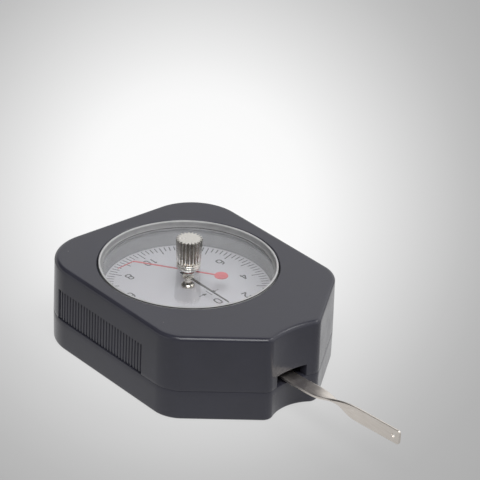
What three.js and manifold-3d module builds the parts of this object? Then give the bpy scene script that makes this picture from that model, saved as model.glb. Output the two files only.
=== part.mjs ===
import * as THREE from 'three';
import { mergeVertices } from 'three/addons/utils/BufferGeometryUtils.js';
import Module from 'manifold-3d';

const wasm = await Module();
wasm.setup();

// A dial tension gauge, lying on its back. Millimetres, +Z up through the dial, +X towards the
// stylus. The origin is on the flat back face, under the axis of the dial.

// Facets of the round work and the overrun of every cut
const ROUND_STEPS = 36;
const WINDOW_STEPS = 72;
const SMALL_STEPS = 16;
const SPIRAL_STEPS = 18;
const FINE_STEPS = 12;
const CUT_OVERRUN = 1;
const WELD_DISTANCE = 1e-4;
const PRESS_GAP = 0.04;
const RUNNING_GAP = 0.06;
const STACK_GAP = 0.05;

// Dial and window, from the dial outwards
const DIAL_RADIUS = 23.3;
const DIAL_LAP = 2;
const DIAL_THICKNESS = 0.7;
const DIAL_HOLE_RADIUS = 1.4;
const WINDOW_LEDGE = 1.8;
const WINDOW_CHAMFER = 0.35;
const WELL_WALL = 1.2;

// Case, in plan
const SIDE_MARGIN = 4.9;
const TAIL_MARGIN = 6.15;
const PIVOT_DISTANCE = 30;
const NOSE_CORNER_RADIUS = 2.85;
const NOSE_CORNER_PLACE = 7.9;
const NOSE_CORNER_INSET = 0.65;
const NOSE_LEAN = 1.05;
const TAPER_ANGLE = 51.2 * Math.PI / 180;
const TAIL_CORNER_RADIUS = 14.8;
const SHOULDER_RADIUS = 9.5;
const INNER_CORNER_RADIUS = 0.6;
const DRAFT_SPREAD = 0.15;

// Case, in height
const SEAM_HEIGHT = 8.8;
const SEAM_GAP = 0.12;
const SHELL_WALL = 2.2;
const TOP_THICKNESS = 2.4;
const FLOOR_THICKNESS = 2;
const TOP_EDGE_RADIUS = 1.2;
const BACK_EDGE_RADIUS = 0.6;
const LIP_RISE = 0.9;
const LIP_THICKNESS = 1.1;
const LIP_GAP = 0.12;

// Grip panels on the long sides
const GRIP_BACK = 20.2;
const GRIP_FRONT = 17.7;
const GRIP_HEIGHT = 9.2;
const GRIP_RECESS = 0.3;
const GRIP_GROOVE_DEPTH = 0.6;
const GRIP_GROOVES = 30;
const GRIP_GROOVE_SHARE = 0.5;

// Screw posts that hold the two shells together
const POST_RADIUS = 2.8;
const POST_CLEARANCE = 1.5;
const CASE_SCREW_RADIUS = 1.1;
const CASE_SCREW_HEAD_RADIUS = 2.1;
const CASE_SCREW_HEAD = 1.5;
const CASE_SCREW_SEAT = 2.6;
const CASE_SCREW_GRIP = 9;
const SCREW_SLOT_WIDTH_SHARE = 0.6;
const SCREW_SLOT_DEPTH_SHARE = 0.5;
const SCREW_EDGE_SHARE = 0.25;

// Lens
const LENS_GAP = 0.26;
const LENS_PROUD = 0.2;
const LENS_RIM_WIDTH = 0.6;
const LENS_SKIRT = 0.2;
const LENS_RECESS = 1.6;
const LENS_THICKNESS = 0.8;
const SEAL_THICKNESS = 0.4;
const SEAL_WIDTH = 1;

// Stylus, the flat steel strip that is pushed
const STYLUS_WIDTH = 4.7;
const STYLUS_THICKNESS = 0.7;
const STYLUS_REACH = 56.5;
const STYLUS_ROOT_GAP = 0.8;
const STYLUS_RISE = 1.7;
const STYLUS_BEND_START = 16;
const STYLUS_TWIST_START = 24;
const STYLUS_TWIST_LENGTH = 17;
const STYLUS_EYE_RADIUS = 0.62;
const STYLUS_EYE_INSET = 2.1;
const STYLUS_TIP_RADIUS = 0.8;

// Slot in the nose that the stylus leaves through
const SLOT_SIDE_CLEARANCE = 0.35;
const SLOT_BELOW = 2;
const SLOT_ABOVE = 0.7;

// Lever that carries the stylus, and its turn each way
const LEVER_SWING = 10 * Math.PI / 180;
const LEVER_SHAFT_RADIUS = 1;
const HUB_NECK_RADIUS = 2.2;
const HUB_FLANGE_RADIUS = 3.4;
const ARM_END = 0.55;
const ARM_END_CLEARANCE = 0.1;
const ARM_HALF_WIDTH = 2.5;
const ARM_THICKNESS = 2;
const CLAMP_SCREW_RADIUS = 0.7;
const CLAMP_SCREW_HEAD_RADIUS = 1.3;
const CLAMP_SCREW_HEAD = 0.7;
const CLAMP_SCREW_INSET = 1.8;
const CLAMP_SCREW_PITCH = 3.4;

// Gear train from the lever to the pointer
const PINION_TEETH = 10;
const GEAR_RATIO = 18;
const SECTOR_TEETH = 14;
const SECTOR_THICKNESS = 1;
const SECTOR_RIM = 3;
const PINION_LENGTH = 2;
const TIP_SHARE = 0.8;
const ROOT_SHARE = 1.2;
const PITCH_THICKNESS_SHARE = 0.4;
const TIP_THICKNESS_SHARE = 0.2;

// Springs: a strong flat spiral on the lever, a fine one on the pointer's arbor
const RANGE_SPRING_HEIGHT = 1.4;
const RANGE_SPRING_THICKNESS = 0.32;
const RANGE_SPRING_PITCH = 0.85;
const RANGE_SPRING_TURNS = 3.25;
const SPRING_STUD_RADIUS = 0.7;
const HAIRSPRING_HEIGHT = 0.8;
const HAIRSPRING_THICKNESS = 0.16;
const HAIRSPRING_PITCH = 0.72;
const HAIRSPRING_TURNS = 5.5;
const HAIRSPRING_LIFT = 2;
const COLLET_RADIUS = 1.5;
const STUD_RADIUS = 0.7;
const SPRING_GAP = 0.4;

// Movement plates, their pillars and bushes
const PLATE_THICKNESS = 1.2;
const PLATE_REAR_MARGIN = 1.7;
const PLATE_FRONT_MARGIN = 0.15;
const UPPER_PLATE_CLEARANCE = 2;
const PILLAR_RADIUS = 1.8;
const PILLAR_SCREW_RADIUS = 0.8;
const PILLAR_SCREW_HEAD_RADIUS = 1.7;
const PILLAR_SCREW_HEAD = 0.8;
const PILLAR_SCREW_BITE = 1.6;
const REAR_PILLAR_CLEARANCE = 1.4;
const REAR_PILLAR_ANGLE = 27 * Math.PI / 180;
const FRONT_PILLAR_CLEARANCE = 0.2;
const BOSS_RADIUS = 2.6;
const BUSH_WALL = 1;
const BUSH_FLANGE = 0.3;
const STOP_PIN_RADIUS = 0.8;
const STOP_PIN_EDGE = 0.3;
const STOP_PIN_GAP = 0.2;
const DIAL_FOOT_RADIUS = 1.2;
const DIAL_FOOT_REACH = 12;
const DIAL_UNDER_CLEARANCE = 0.5;

// Pointer that reads the force
const ARBOR_RADIUS = 0.6;
const ARBOR_PIVOT_RADIUS = 0.45;
const POINTER_HEIGHT = 2.85;
const POINTER_THICKNESS = 0.3;
const POINTER_MARGIN = 5.8;
const POINTER_TAIL = 5;
const POINTER_ROOT_WIDTH = 1.1;
const POINTER_TIP_WIDTH = 0.3;
const POINTER_EYE_RADIUS = 1.6;
const POINTER_HUB_RADIUS = 0.95;
const POINTER_HUB_DROP = 1.6;
const POINTER_HUB_RISE = 0.2;
const DIAL_BOSS_RADIUS = 1.9;
const DIAL_BOSS_HEIGHT = 1;

// Red pointer that stays at the highest reading, and the knob that turns it back
const MAX_POINTER_THICKNESS = 0.3;
const MAX_POINTER_WIDTH = 0.5;
const MAX_POINTER_OVERHANG = 1.6;
const MAX_POINTER_HOOK = 4.4;
const MAX_POINTER_DIP = 3.1;
const MAX_POINTER_DISC_RADIUS = 1.93;
const MAX_POINTER_DISC_REACH = 9.4;
const MAX_POINTER_EYE_RADIUS = 1.9;
const MAX_POINTER_ANGLE = -145 * Math.PI / 180;
const STEM_GAP = 0.45;
const STEM_RADIUS = 1.1;
const STEM_FLANGE_RADIUS = 1.8;
const STEM_TIP_RADIUS = 0.9;
const STEM_CONE_HEIGHT = 0.8;
const STEM_FLANGE_HEIGHT = 0.2;
const STEM_KNOB_DEPTH = 4.2;
const CLIP_RADIUS = 2;
const CLIP_THICKNESS = 0.2;
const STEM_BUSH_RADIUS = 1.9;
const STEM_BUSH_RISE = 0.1;
const KNOB_RADIUS = 3.7;
const KNOB_BASE_RADIUS = 3.35;
const KNOB_COLLAR_RADIUS = 3.1;
const KNOB_COLLAR_HEIGHT = 2;
const KNOB_HEIGHT = 7;
const KNOB_FLUTES = 20;
const KNOB_FLUTE_DEPTH = 0.5;
const KNOB_CHAMFER = 0.3;

// Plan sizes that follow
const windowRadius = DIAL_RADIUS + WINDOW_LEDGE;
const wellOuterRadius = windowRadius + WELL_WALL;
const dialPlateRadius = DIAL_RADIUS + DIAL_LAP;
const caseHalfWidth = windowRadius + SIDE_MARGIN;
const caseTail = windowRadius + TAIL_MARGIN;
const lastScrewReach = HUB_FLANGE_RADIUS + CLAMP_SCREW_INSET + CLAMP_SCREW_PITCH;
const armReach = lastScrewReach + CLAMP_SCREW_HEAD_RADIUS + ARM_END;
const hollowReach = PIVOT_DISTANCE + armReach + ARM_END_CLEARANCE + SHELL_WALL;
const noseCentre = new THREE.Vector2(hollowReach - NOSE_CORNER_INSET, NOSE_CORNER_PLACE);
const caseNose = noseCentre.x + NOSE_CORNER_RADIUS;
const taperNormal = polar(1, Math.PI / 2 - TAPER_ANGLE);
const taperReach = noseCentre.dot(taperNormal) + NOSE_CORNER_RADIUS;
const postDistance = wellOuterRadius + POST_CLEARANCE + POST_RADIUS;
const postPlaces = [1, 3, 5, 7].map((eighth) => polar(postDistance, eighth * Math.PI / 4));
const lensRadius = windowRadius - LENS_GAP;
const pointerReach = DIAL_RADIUS - POINTER_MARGIN;
const maxPointerBend = pointerReach - MAX_POINTER_OVERHANG;
const maxPointerReach = maxPointerBend + MAX_POINTER_HOOK;
const slotReach = hollowReach + NOSE_LEAN - PIVOT_DISTANCE;
const slotHalfWidth = slotReach * Math.tan(LEVER_SWING) + STYLUS_WIDTH / 2 / Math.cos(LEVER_SWING)
  + SLOT_SIDE_CLEARANCE;

// Gear sizes that follow
const sectorPitchTeeth = PINION_TEETH * GEAR_RATIO;
const gearModule = 2 * PIVOT_DISTANCE / (PINION_TEETH + sectorPitchTeeth);
const sectorTipRadius = gearModule * (sectorPitchTeeth / 2 + TIP_SHARE);

// Spring, pillar and plate sizes that follow
const rangeSpringInner = HUB_NECK_RADIUS + PRESS_GAP + RANGE_SPRING_THICKNESS / 2;
const rangeSpringSpan = RANGE_SPRING_PITCH * RANGE_SPRING_TURNS + RANGE_SPRING_THICKNESS / 2;
const rangeSpringOuter = rangeSpringInner + rangeSpringSpan;
const hairspringInner = COLLET_RADIUS + PRESS_GAP + HAIRSPRING_THICKNESS / 2;
const hairspringSpan = HAIRSPRING_PITCH * HAIRSPRING_TURNS + HAIRSPRING_THICKNESS / 2;
const hairspringOuter = hairspringInner + hairspringSpan;
const frontPillarReach = rangeSpringOuter + FRONT_PILLAR_CLEARANCE + PILLAR_RADIUS;
const rearPillarReach = sectorTipRadius + REAR_PILLAR_CLEARANCE + PILLAR_RADIUS;
const rearPillar = polar(rearPillarReach, Math.PI - REAR_PILLAR_ANGLE);
rearPillar.x += PIVOT_DISTANCE;
const plateRearRadius = rearPillar.length() + PILLAR_RADIUS + PLATE_REAR_MARGIN;
const plateFrontRadius = frontPillarReach + PILLAR_RADIUS + PLATE_FRONT_MARGIN;
const stopPinReach = plateFrontRadius - STOP_PIN_RADIUS - STOP_PIN_EDGE;

// Heights that follow, from the seam and the slot outwards to both faces
const stylusBottom = SEAM_HEIGHT + SLOT_BELOW;
const stylusTop = stylusBottom + STYLUS_THICKNESS;
const slotTop = stylusTop + SLOT_ABOVE;
const armBottom = stylusBottom - ARM_THICKNESS;
const sectorBottom = armBottom - SECTOR_THICKNESS;
const rangeSpringBottom = sectorBottom - SPRING_GAP - RANGE_SPRING_HEIGHT;
const lowerPlateTop = rangeSpringBottom - SPRING_GAP;
const lowerPlateBottom = lowerPlateTop - PLATE_THICKNESS;
const upperPlateBottom = slotTop + UPPER_PLATE_CLEARANCE;
const upperPlateTop = upperPlateBottom + PLATE_THICKNESS;
const dialFootHeight = PILLAR_SCREW_HEAD + DIAL_UNDER_CLEARANCE;
const dialBottom = upperPlateTop + dialFootHeight;
const dialTop = dialBottom + DIAL_THICKNESS;
const pointerBottom = dialTop + POINTER_HEIGHT;
const pointerTop = pointerBottom + POINTER_THICKNESS;
const arborTop = pointerTop + POINTER_HUB_RISE;
const stemBottom = arborTop + STEM_GAP;
const stemFlangeBottom = stemBottom + STEM_CONE_HEIGHT;
const maxPointerBottom = stemFlangeBottom + STEM_FLANGE_HEIGHT;
const maxPointerTop = maxPointerBottom + MAX_POINTER_THICKNESS;
const clipBottom = maxPointerTop + STACK_GAP;
const clipTop = clipBottom + CLIP_THICKNESS;
const lensFaceBottom = clipTop + STACK_GAP;
const lensFaceTop = lensFaceBottom + LENS_THICKNESS;
const lensTop = lensFaceTop + LENS_RECESS;
const lensSeat = lensFaceBottom - LENS_SKIRT;
const lensHoleRadius = STEM_BUSH_RADIUS + PRESS_GAP;
const sealBottom = lensSeat - SEAL_THICKNESS;
const caseHeight = lensTop - LENS_PROUD;
const ceiling = caseHeight - TOP_THICKNESS;
const wellBottom = dialTop + SEAM_GAP;
const stemBushTop = lensFaceTop + STEM_BUSH_RISE;
const knobBottom = stemBushTop + 2 * STACK_GAP;
const knobFluteBottom = knobBottom + KNOB_COLLAR_HEIGHT;
const knobTop = knobFluteBottom + KNOB_HEIGHT;
const stemTop = knobFluteBottom + STEM_KNOB_DEPTH;
const bushFlangeTop = lowerPlateTop + BUSH_FLANGE;
const hairspringBottom = armBottom + HAIRSPRING_LIFT;

// Finishes
const PLASTIC = { color: 0x3b3d42, roughness: 0.55, metalness: 0 };
const BACK_PLASTIC = { color: 0x393b40, roughness: 0.58, metalness: 0 };
const CLEAR = { color: 0xdfe6ea, roughness: 0.05, metalness: 0, transparent: true, opacity: 0.3 };
const DIAL_PAINT = { color: 0xc9c9cd, roughness: 0.5, metalness: 0.1 };
const NICKEL = { color: 0xcdc8bd, roughness: 0.28, metalness: 1 };
const STEEL = { color: 0xc2bcb2, roughness: 0.32, metalness: 1 };
const SPRING_STEEL = { color: 0x8f949c, roughness: 0.35, metalness: 1 };
const BRASS = { color: 0xc7a35a, roughness: 0.35, metalness: 1 };
const RUBBER = { color: 0x18191a, roughness: 0.85, metalness: 0 };
const BLACK_PAINT = { color: 0x1f2023, roughness: 0.5, metalness: 0.1 };
const RED_PAINT = { color: 0xc6606a, roughness: 0.5, metalness: 0 };

function polar(radius, angle) {
  return new THREE.Vector2(radius * Math.cos(angle), radius * Math.sin(angle));
}

// Turns a geometry into a solid: vertices merged, flat triangles dropped, faces pointing out.
function toSolid(geometry) {
  const bare = geometry.clone();
  for (const name of Object.keys(bare.attributes)) {
    if (name !== 'position') bare.deleteAttribute(name);
  }
  const merged = mergeVertices(bare, WELD_DISTANCE);
  const place = merged.attributes.position;
  const index = merged.index.array;
  const kept = [];
  let volume = 0;
  const a = new THREE.Vector3();
  const b = new THREE.Vector3();
  const c = new THREE.Vector3();
  for (let i = 0; i < index.length; i += 3) {
    const [p, q, r] = [index[i], index[i + 1], index[i + 2]];
    if (p === q || q === r || r === p) continue;
    kept.push(p, q, r);
    a.fromBufferAttribute(place, p);
    b.fromBufferAttribute(place, q);
    c.fromBufferAttribute(place, r);
    volume += a.dot(b.cross(c));
  }
  if (volume < 0) kept.reverse();
  return new wasm.Manifold(new wasm.Mesh({
    numProp: 3,
    vertProperties: new Float32Array(place.array),
    triVerts: new Uint32Array(kept),
  }));
}

function toGeometry(solid) {
  const mesh = solid.getMesh();
  const geometry = new THREE.BufferGeometry();
  geometry.setAttribute('position', new THREE.BufferAttribute(mesh.vertProperties, 3));
  geometry.setIndex(new THREE.BufferAttribute(mesh.triVerts, 1));
  geometry.computeVertexNormals();
  return geometry;
}

// A flat outline made thick between two heights.
function slab(outline, bottom, top) {
  const shape = outline instanceof THREE.Shape ? outline : new THREE.Shape(outline);
  const options = { depth: top - bottom, bevelEnabled: false, curveSegments: FINE_STEPS };
  return toSolid(new THREE.ExtrudeGeometry(shape, options).translate(0, 0, bottom));
}

// A profile of [radius, height] points turned about the vertical line through (x, y).
function turned(profile, steps, x = 0, y = 0) {
  const points = profile.map(([radius, height]) => new THREE.Vector2(radius, height));
  const geometry = new THREE.LatheGeometry(points, steps);
  return toSolid(geometry.rotateX(Math.PI / 2).translate(x, y, 0));
}

function rod(radius, bottom, top, steps, x = 0, y = 0) {
  return turned([[0, bottom], [radius, bottom], [radius, top], [0, top]], steps, x, y);
}

function ring(inner, outer, bottom, top, steps, x = 0, y = 0) {
  const profile = [[inner, bottom], [outer, bottom], [outer, top], [inner, top], [inner, bottom]];
  return turned(profile, steps, x, y);
}

function block(xs, ys, zs) {
  const geometry = new THREE.BoxGeometry(xs[1] - xs[0], ys[1] - ys[0], zs[1] - zs[0]);
  geometry.translate((xs[0] + xs[1]) / 2, (ys[0] + ys[1]) / 2, (zs[0] + zs[1]) / 2);
  return toSolid(geometry);
}

// Stands an upright post on each spot, as part of the solid.
function posted(solid, radius, bottom, top, spots) {
  for (const spot of spots) {
    solid = solid.add(rod(radius, bottom, top, SMALL_STEPS, spot.x, spot.y));
  }
  return solid;
}

// Drills an upright hole at each spot.
function drilled(solid, radius, bottom, top, spots) {
  for (const spot of spots) {
    solid = solid.subtract(rod(radius, bottom, top, FINE_STEPS, spot.x, spot.y));
  }
  return solid;
}

// Skins a stack of rings, each an array of points with the same count, and closes both ends.
function lofted(rings) {
  const count = rings[0].length;
  const positions = [];
  const indices = [];
  for (const one of rings) {
    for (const point of one) positions.push(point.x, point.y, point.z);
  }
  for (let k = 0; k + 1 < rings.length; k += 1) {
    for (let i = 0; i < count; i += 1) {
      const j = (i + 1) % count;
      const [a, b] = [k * count + i, k * count + j];
      indices.push(a, b, b + count, a, b + count, a + count);
    }
  }
  const last = (rings.length - 1) * count;
  const flat = rings[0].map((point) => new THREE.Vector2(point.u ?? point.x, point.v ?? point.y));
  for (const [p, q, r] of THREE.ShapeUtils.triangulateShape(flat, [])) {
    indices.push(r, q, p, last + p, last + q, last + r);
  }
  const geometry = new THREE.BufferGeometry();
  geometry.setAttribute('position', new THREE.Float32BufferAttribute(positions, 3));
  geometry.setIndex(indices);
  return toSolid(geometry);
}

// The points of an arc, both ends included.
function arc(centre, radius, from, to, steps) {
  const points = [];
  for (let i = 0; i <= steps; i += 1) {
    points.push(centre.clone().add(polar(radius, from + (to - from) * i / steps)));
  }
  return points;
}

// Half of the nose from the middle of its hollow, with the hollow's deepest point at reach: an arc
// that bows inwards, then a corner arc that runs smoothly into the hollow and into the taper.
function noseOutline(spread, reach) {
  const inset = reach - noseCentre.x;
  const square = NOSE_CORNER_PLACE ** 2 + inset ** 2 - NOSE_CORNER_RADIUS ** 2;
  const hollowRadius = square / (2 * (NOSE_CORNER_RADIUS - inset));
  const hollowCentre = new THREE.Vector2(reach + hollowRadius, 0);
  const cornerRadius = Math.max(NOSE_CORNER_RADIUS + spread, INNER_CORNER_RADIUS);
  const away = hollowCentre.dot(taperNormal) - taperReach - spread + cornerRadius;
  const apart = hollowRadius - spread + cornerRadius;
  const along = Math.sqrt(apart * apart - away * away);
  const taperRun = new THREE.Vector2(-taperNormal.y, taperNormal.x);
  const corner = hollowCentre.clone().addScaledVector(taperNormal, -away).addScaledVector(taperRun, along);
  const meeting = Math.asin(corner.y / apart);
  return [
    ...arc(hollowCentre, hollowRadius - spread, Math.PI, Math.PI - meeting, 6),
    ...arc(corner, cornerRadius, -meeting, Math.PI / 2 - TAPER_ANGLE, 6).slice(1),
  ];
}

// The case's plan outline, moved outwards by spread: a flat tail, straight sides, two tapers
// and a nose with a hollow. Every arc has a fixed point count.
function caseOutline(spread, reach) {
  const taperLean = Math.PI / 2 - TAPER_ANGLE;
  const side = caseHalfWidth + spread;
  const tail = -caseTail - spread;
  const shoulderRadius = SHOULDER_RADIUS + spread;
  const tailRadius = TAIL_CORNER_RADIUS + spread;
  const shoulderPlace = side - shoulderRadius;
  const shoulder = (taperReach + spread - shoulderRadius - shoulderPlace * taperNormal.y) / taperNormal.x;
  const half = [
    ...noseOutline(spread, reach),
    ...arc(new THREE.Vector2(shoulder, shoulderPlace), shoulderRadius, taperLean, Math.PI / 2, 7),
    ...arc(new THREE.Vector2(tail + tailRadius, side - tailRadius), tailRadius, Math.PI / 2, Math.PI, 9),
  ];
  const mirrored = half.slice(1).reverse().map((point) => new THREE.Vector2(point.x, -point.y));
  return [...half, ...mirrored];
}

function caseRing(spread, height) {
  const reach = hollowReach + NOSE_LEAN * Math.min(height / SEAM_HEIGHT, 1);
  return caseOutline(spread, reach).map((point) => new THREE.Vector3(point.x, point.y, height));
}

// Rings of an edge rounded by radius, from the side wall to the face, at quarter-turn steps.
function roundedEdge(radius, faceHeight, towards, spread) {
  const steps = 4;
  const rings = [];
  for (let i = 0; i <= steps; i += 1) {
    const angle = Math.PI / 2 * i / steps;
    const height = faceHeight - towards * radius * (1 - Math.sin(angle));
    rings.push(caseRing(spread - radius * (1 - Math.cos(angle)), height));
  }
  return rings;
}

function topShellOuter() {
  return lofted([caseRing(DRAFT_SPREAD, SEAM_HEIGHT), ...roundedEdge(TOP_EDGE_RADIUS, caseHeight, 1, 0)]);
}

function backCoverOuter() {
  const backSpread = DRAFT_SPREAD * (1 - SEAM_HEIGHT / (caseHeight - SEAM_HEIGHT));
  const lower = roundedEdge(BACK_EDGE_RADIUS, 0, -1, backSpread).reverse();
  return lofted([...lower, caseRing(DRAFT_SPREAD, SEAM_HEIGHT - SEAM_GAP)]);
}

function casePrism(spread, bottom, top) {
  return slab(caseOutline(spread, hollowReach + NOSE_LEAN / 2), bottom, top);
}

// The comb that cuts one grip panel: a shallow recess with upright grooves sunk in its floor.
function gripComb() {
  const pitch = (GRIP_BACK + GRIP_FRONT) / GRIP_GROOVES;
  const face = caseHalfWidth + DRAFT_SPREAD;
  const recess = face - GRIP_RECESS;
  const floor = recess - GRIP_GROOVE_DEPTH;
  const outline = [new THREE.Vector2(GRIP_FRONT, face + CUT_OVERRUN)];
  outline.push(new THREE.Vector2(-GRIP_BACK, face + CUT_OVERRUN));
  for (let i = 0; i < GRIP_GROOVES; i += 1) {
    const start = -GRIP_BACK + pitch * (i + (1 - GRIP_GROOVE_SHARE) / 2);
    const end = start + pitch * GRIP_GROOVE_SHARE;
    if (i === 0) outline.push(new THREE.Vector2(-GRIP_BACK, recess));
    outline.push(new THREE.Vector2(start, recess), new THREE.Vector2(start, floor));
    outline.push(new THREE.Vector2(end, floor), new THREE.Vector2(end, recess));
  }
  outline.push(new THREE.Vector2(GRIP_FRONT, recess));
  return slab(outline, SEAM_HEIGHT - CUT_OVERRUN, SEAM_HEIGHT + GRIP_HEIGHT);
}

function mirroredInY(solid) {
  return toSolid(toGeometry(solid).scale(1, -1, 1));
}

function topShell() {
  let shell = topShellOuter().subtract(casePrism(-SHELL_WALL, SEAM_HEIGHT - CUT_OVERRUN, ceiling));
  const well = ring(DIAL_RADIUS, wellOuterRadius, wellBottom, caseHeight - TOP_EDGE_RADIUS, ROUND_STEPS);
  shell = shell.add(well);
  shell = posted(shell, POST_RADIUS, SEAM_HEIGHT, caseHeight - TOP_EDGE_RADIUS, postPlaces);
  const chamferRadius = windowRadius + WINDOW_CHAMFER;
  const overTop = caseHeight + CUT_OVERRUN;
  shell = shell.subtract(turned([
    [0, wellBottom - CUT_OVERRUN], [DIAL_RADIUS, wellBottom - CUT_OVERRUN], [DIAL_RADIUS, sealBottom],
    [windowRadius, sealBottom], [windowRadius, caseHeight - WINDOW_CHAMFER],
    [chamferRadius, caseHeight], [chamferRadius, overTop], [0, overTop],
  ], WINDOW_STEPS));
  const screwHole = [SEAM_HEIGHT - CUT_OVERRUN, SEAM_HEIGHT + CASE_SCREW_GRIP];
  shell = drilled(shell, CASE_SCREW_RADIUS + PRESS_GAP, ...screwHole, postPlaces);
  const comb = gripComb();
  const slot = block([PIVOT_DISTANCE + armReach, caseNose + CUT_OVERRUN], [-slotHalfWidth, slotHalfWidth],
    [SEAM_HEIGHT - CUT_OVERRUN, slotTop]);
  return shell.subtract(comb).subtract(mirroredInY(comb)).subtract(slot);
}

function pillarPlaces() {
  return [
    new THREE.Vector2(rearPillar.x, rearPillar.y), new THREE.Vector2(rearPillar.x, -rearPillar.y),
    new THREE.Vector2(PIVOT_DISTANCE, frontPillarReach),
    new THREE.Vector2(PIVOT_DISTANCE, -frontPillarReach),
  ];
}

function backCover() {
  const top = SEAM_HEIGHT - SEAM_GAP;
  const lipTop = SEAM_HEIGHT + LIP_RISE;
  const lipSpread = -SHELL_WALL - LIP_GAP;
  let cover = backCoverOuter().add(casePrism(lipSpread, FLOOR_THICKNESS, lipTop));
  cover = cover.subtract(casePrism(lipSpread - LIP_THICKNESS, FLOOR_THICKNESS, lipTop + CUT_OVERRUN));
  const noseHalf = slotHalfWidth + LIP_THICKNESS;
  const lipGate = [top, lipTop + CUT_OVERRUN];
  cover = cover.subtract(block([PIVOT_DISTANCE, caseNose], [-noseHalf, noseHalf], lipGate));
  cover = posted(cover, POST_RADIUS, FLOOR_THICKNESS / 2, top, postPlaces);
  cover = posted(cover, BOSS_RADIUS, FLOOR_THICKNESS / 2, lowerPlateBottom, pillarPlaces());
  const screwEnd = lowerPlateBottom - PILLAR_SCREW_BITE - STACK_GAP;
  const bossHole = [screwEnd, lowerPlateBottom + CUT_OVERRUN];
  cover = drilled(cover, PILLAR_SCREW_RADIUS + PRESS_GAP, ...bossHole, pillarPlaces());
  for (const post of postPlaces) {
    const shank = CASE_SCREW_RADIUS + PRESS_GAP;
    const head = CASE_SCREW_HEAD_RADIUS + RUNNING_GAP;
    cover = cover.subtract(turned([
      [0, -CUT_OVERRUN], [head, -CUT_OVERRUN], [head, CASE_SCREW_SEAT], [shank, CASE_SCREW_SEAT],
      [shank, top + CUT_OVERRUN], [0, top + CUT_OVERRUN],
    ], SMALL_STEPS, post.x, post.y));
  }
  return cover;
}

// A pan-head screw with a driver slot. The head lies beyond seat, on the side that towards gives.
function slottedScrew(screw, seat, towards, length, x, y) {
  const end = seat - towards * length;
  const face = seat + towards * screw.head;
  const rim = face - towards * screw.head * SCREW_EDGE_SHARE;
  const chamfer = screw.headRadius - screw.head * SCREW_EDGE_SHARE;
  const body = turned([
    [0, end], [screw.radius, end], [screw.radius, seat], [screw.headRadius, seat],
    [screw.headRadius, rim], [chamfer, face], [0, face],
  ], FINE_STEPS, x, y);
  const floor = face - towards * screw.head * SCREW_SLOT_DEPTH_SHARE;
  const beyond = face + towards * CUT_OVERRUN;
  const half = screw.headRadius + CUT_OVERRUN;
  const cut = screw.head * SCREW_SLOT_WIDTH_SHARE / 2;
  return body.subtract(block([x - half, x + half], [y - cut, y + cut],
    [Math.min(floor, beyond), Math.max(floor, beyond)]));
}

function caseScrew(place) {
  const screw = { radius: CASE_SCREW_RADIUS, headRadius: CASE_SCREW_HEAD_RADIUS, head: CASE_SCREW_HEAD };
  const length = SEAM_HEIGHT - CASE_SCREW_SEAT + CASE_SCREW_GRIP - STACK_GAP;
  return slottedScrew(screw, CASE_SCREW_SEAT, -1, length, place.x, place.y);
}

function pillarScrew(place) {
  const screw = {
    radius: PILLAR_SCREW_RADIUS, headRadius: PILLAR_SCREW_HEAD_RADIUS, head: PILLAR_SCREW_HEAD,
  };
  const length = upperPlateTop - lowerPlateBottom + PILLAR_SCREW_BITE;
  return slottedScrew(screw, upperPlateTop, 1, length, place.x, place.y);
}

function pillar(place) {
  return ring(PILLAR_SCREW_RADIUS + PRESS_GAP, PILLAR_RADIUS, lowerPlateTop, upperPlateBottom, SMALL_STEPS,
    place.x, place.y);
}

function lens() {
  const inner = lensRadius - LENS_RIM_WIDTH;
  return turned([
    [lensHoleRadius, lensFaceBottom], [inner, lensFaceBottom], [inner, lensSeat], [lensRadius, lensSeat],
    [lensRadius, lensTop], [inner, lensTop], [inner, lensFaceTop], [lensHoleRadius, lensFaceTop],
    [lensHoleRadius, lensFaceBottom],
  ], WINDOW_STEPS);
}

function lensSeal() {
  return ring(lensRadius - SEAL_WIDTH, lensRadius, sealBottom, lensSeat, ROUND_STEPS);
}

function dialPlate() {
  return ring(DIAL_HOLE_RADIUS, dialPlateRadius, dialBottom, dialTop, WINDOW_STEPS);
}

function dialBoss() {
  return ring(DIAL_HOLE_RADIUS, DIAL_BOSS_RADIUS, dialTop, dialTop + DIAL_BOSS_HEIGHT, SMALL_STEPS);
}

function dialFoot(place) {
  return rod(DIAL_FOOT_RADIUS, upperPlateTop, dialBottom, SMALL_STEPS, place.x, place.y);
}

// A plate round the arbor and the lever's pivot: two circles joined by their outer tangents.
function platePlan() {
  const lean = Math.acos((plateRearRadius - plateFrontRadius) / PIVOT_DISTANCE);
  const shape = new THREE.Shape();
  shape.absarc(0, 0, plateRearRadius, lean, 2 * Math.PI - lean, false);
  shape.absarc(PIVOT_DISTANCE, 0, plateFrontRadius, -lean, lean, false);
  return shape;
}

function drilledPlate(bottom, arborHole) {
  const top = bottom + PLATE_THICKNESS;
  let plate = slab(platePlan(), bottom, top);
  const span = [bottom - CUT_OVERRUN, top + CUT_OVERRUN];
  plate = drilled(plate, PILLAR_SCREW_RADIUS + PRESS_GAP, ...span, pillarPlaces());
  const shaftHole = LEVER_SHAFT_RADIUS + BUSH_WALL + PRESS_GAP;
  return plate.subtract(rod(arborHole, ...span, SMALL_STEPS))
    .subtract(rod(shaftHole, ...span, SMALL_STEPS, PIVOT_DISTANCE));
}

function lowerPlate() {
  return drilledPlate(lowerPlateBottom, ARBOR_PIVOT_RADIUS + BUSH_WALL + PRESS_GAP);
}

function upperPlate() {
  return drilledPlate(upperPlateBottom, ARBOR_RADIUS + BUSH_WALL + PRESS_GAP);
}

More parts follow.
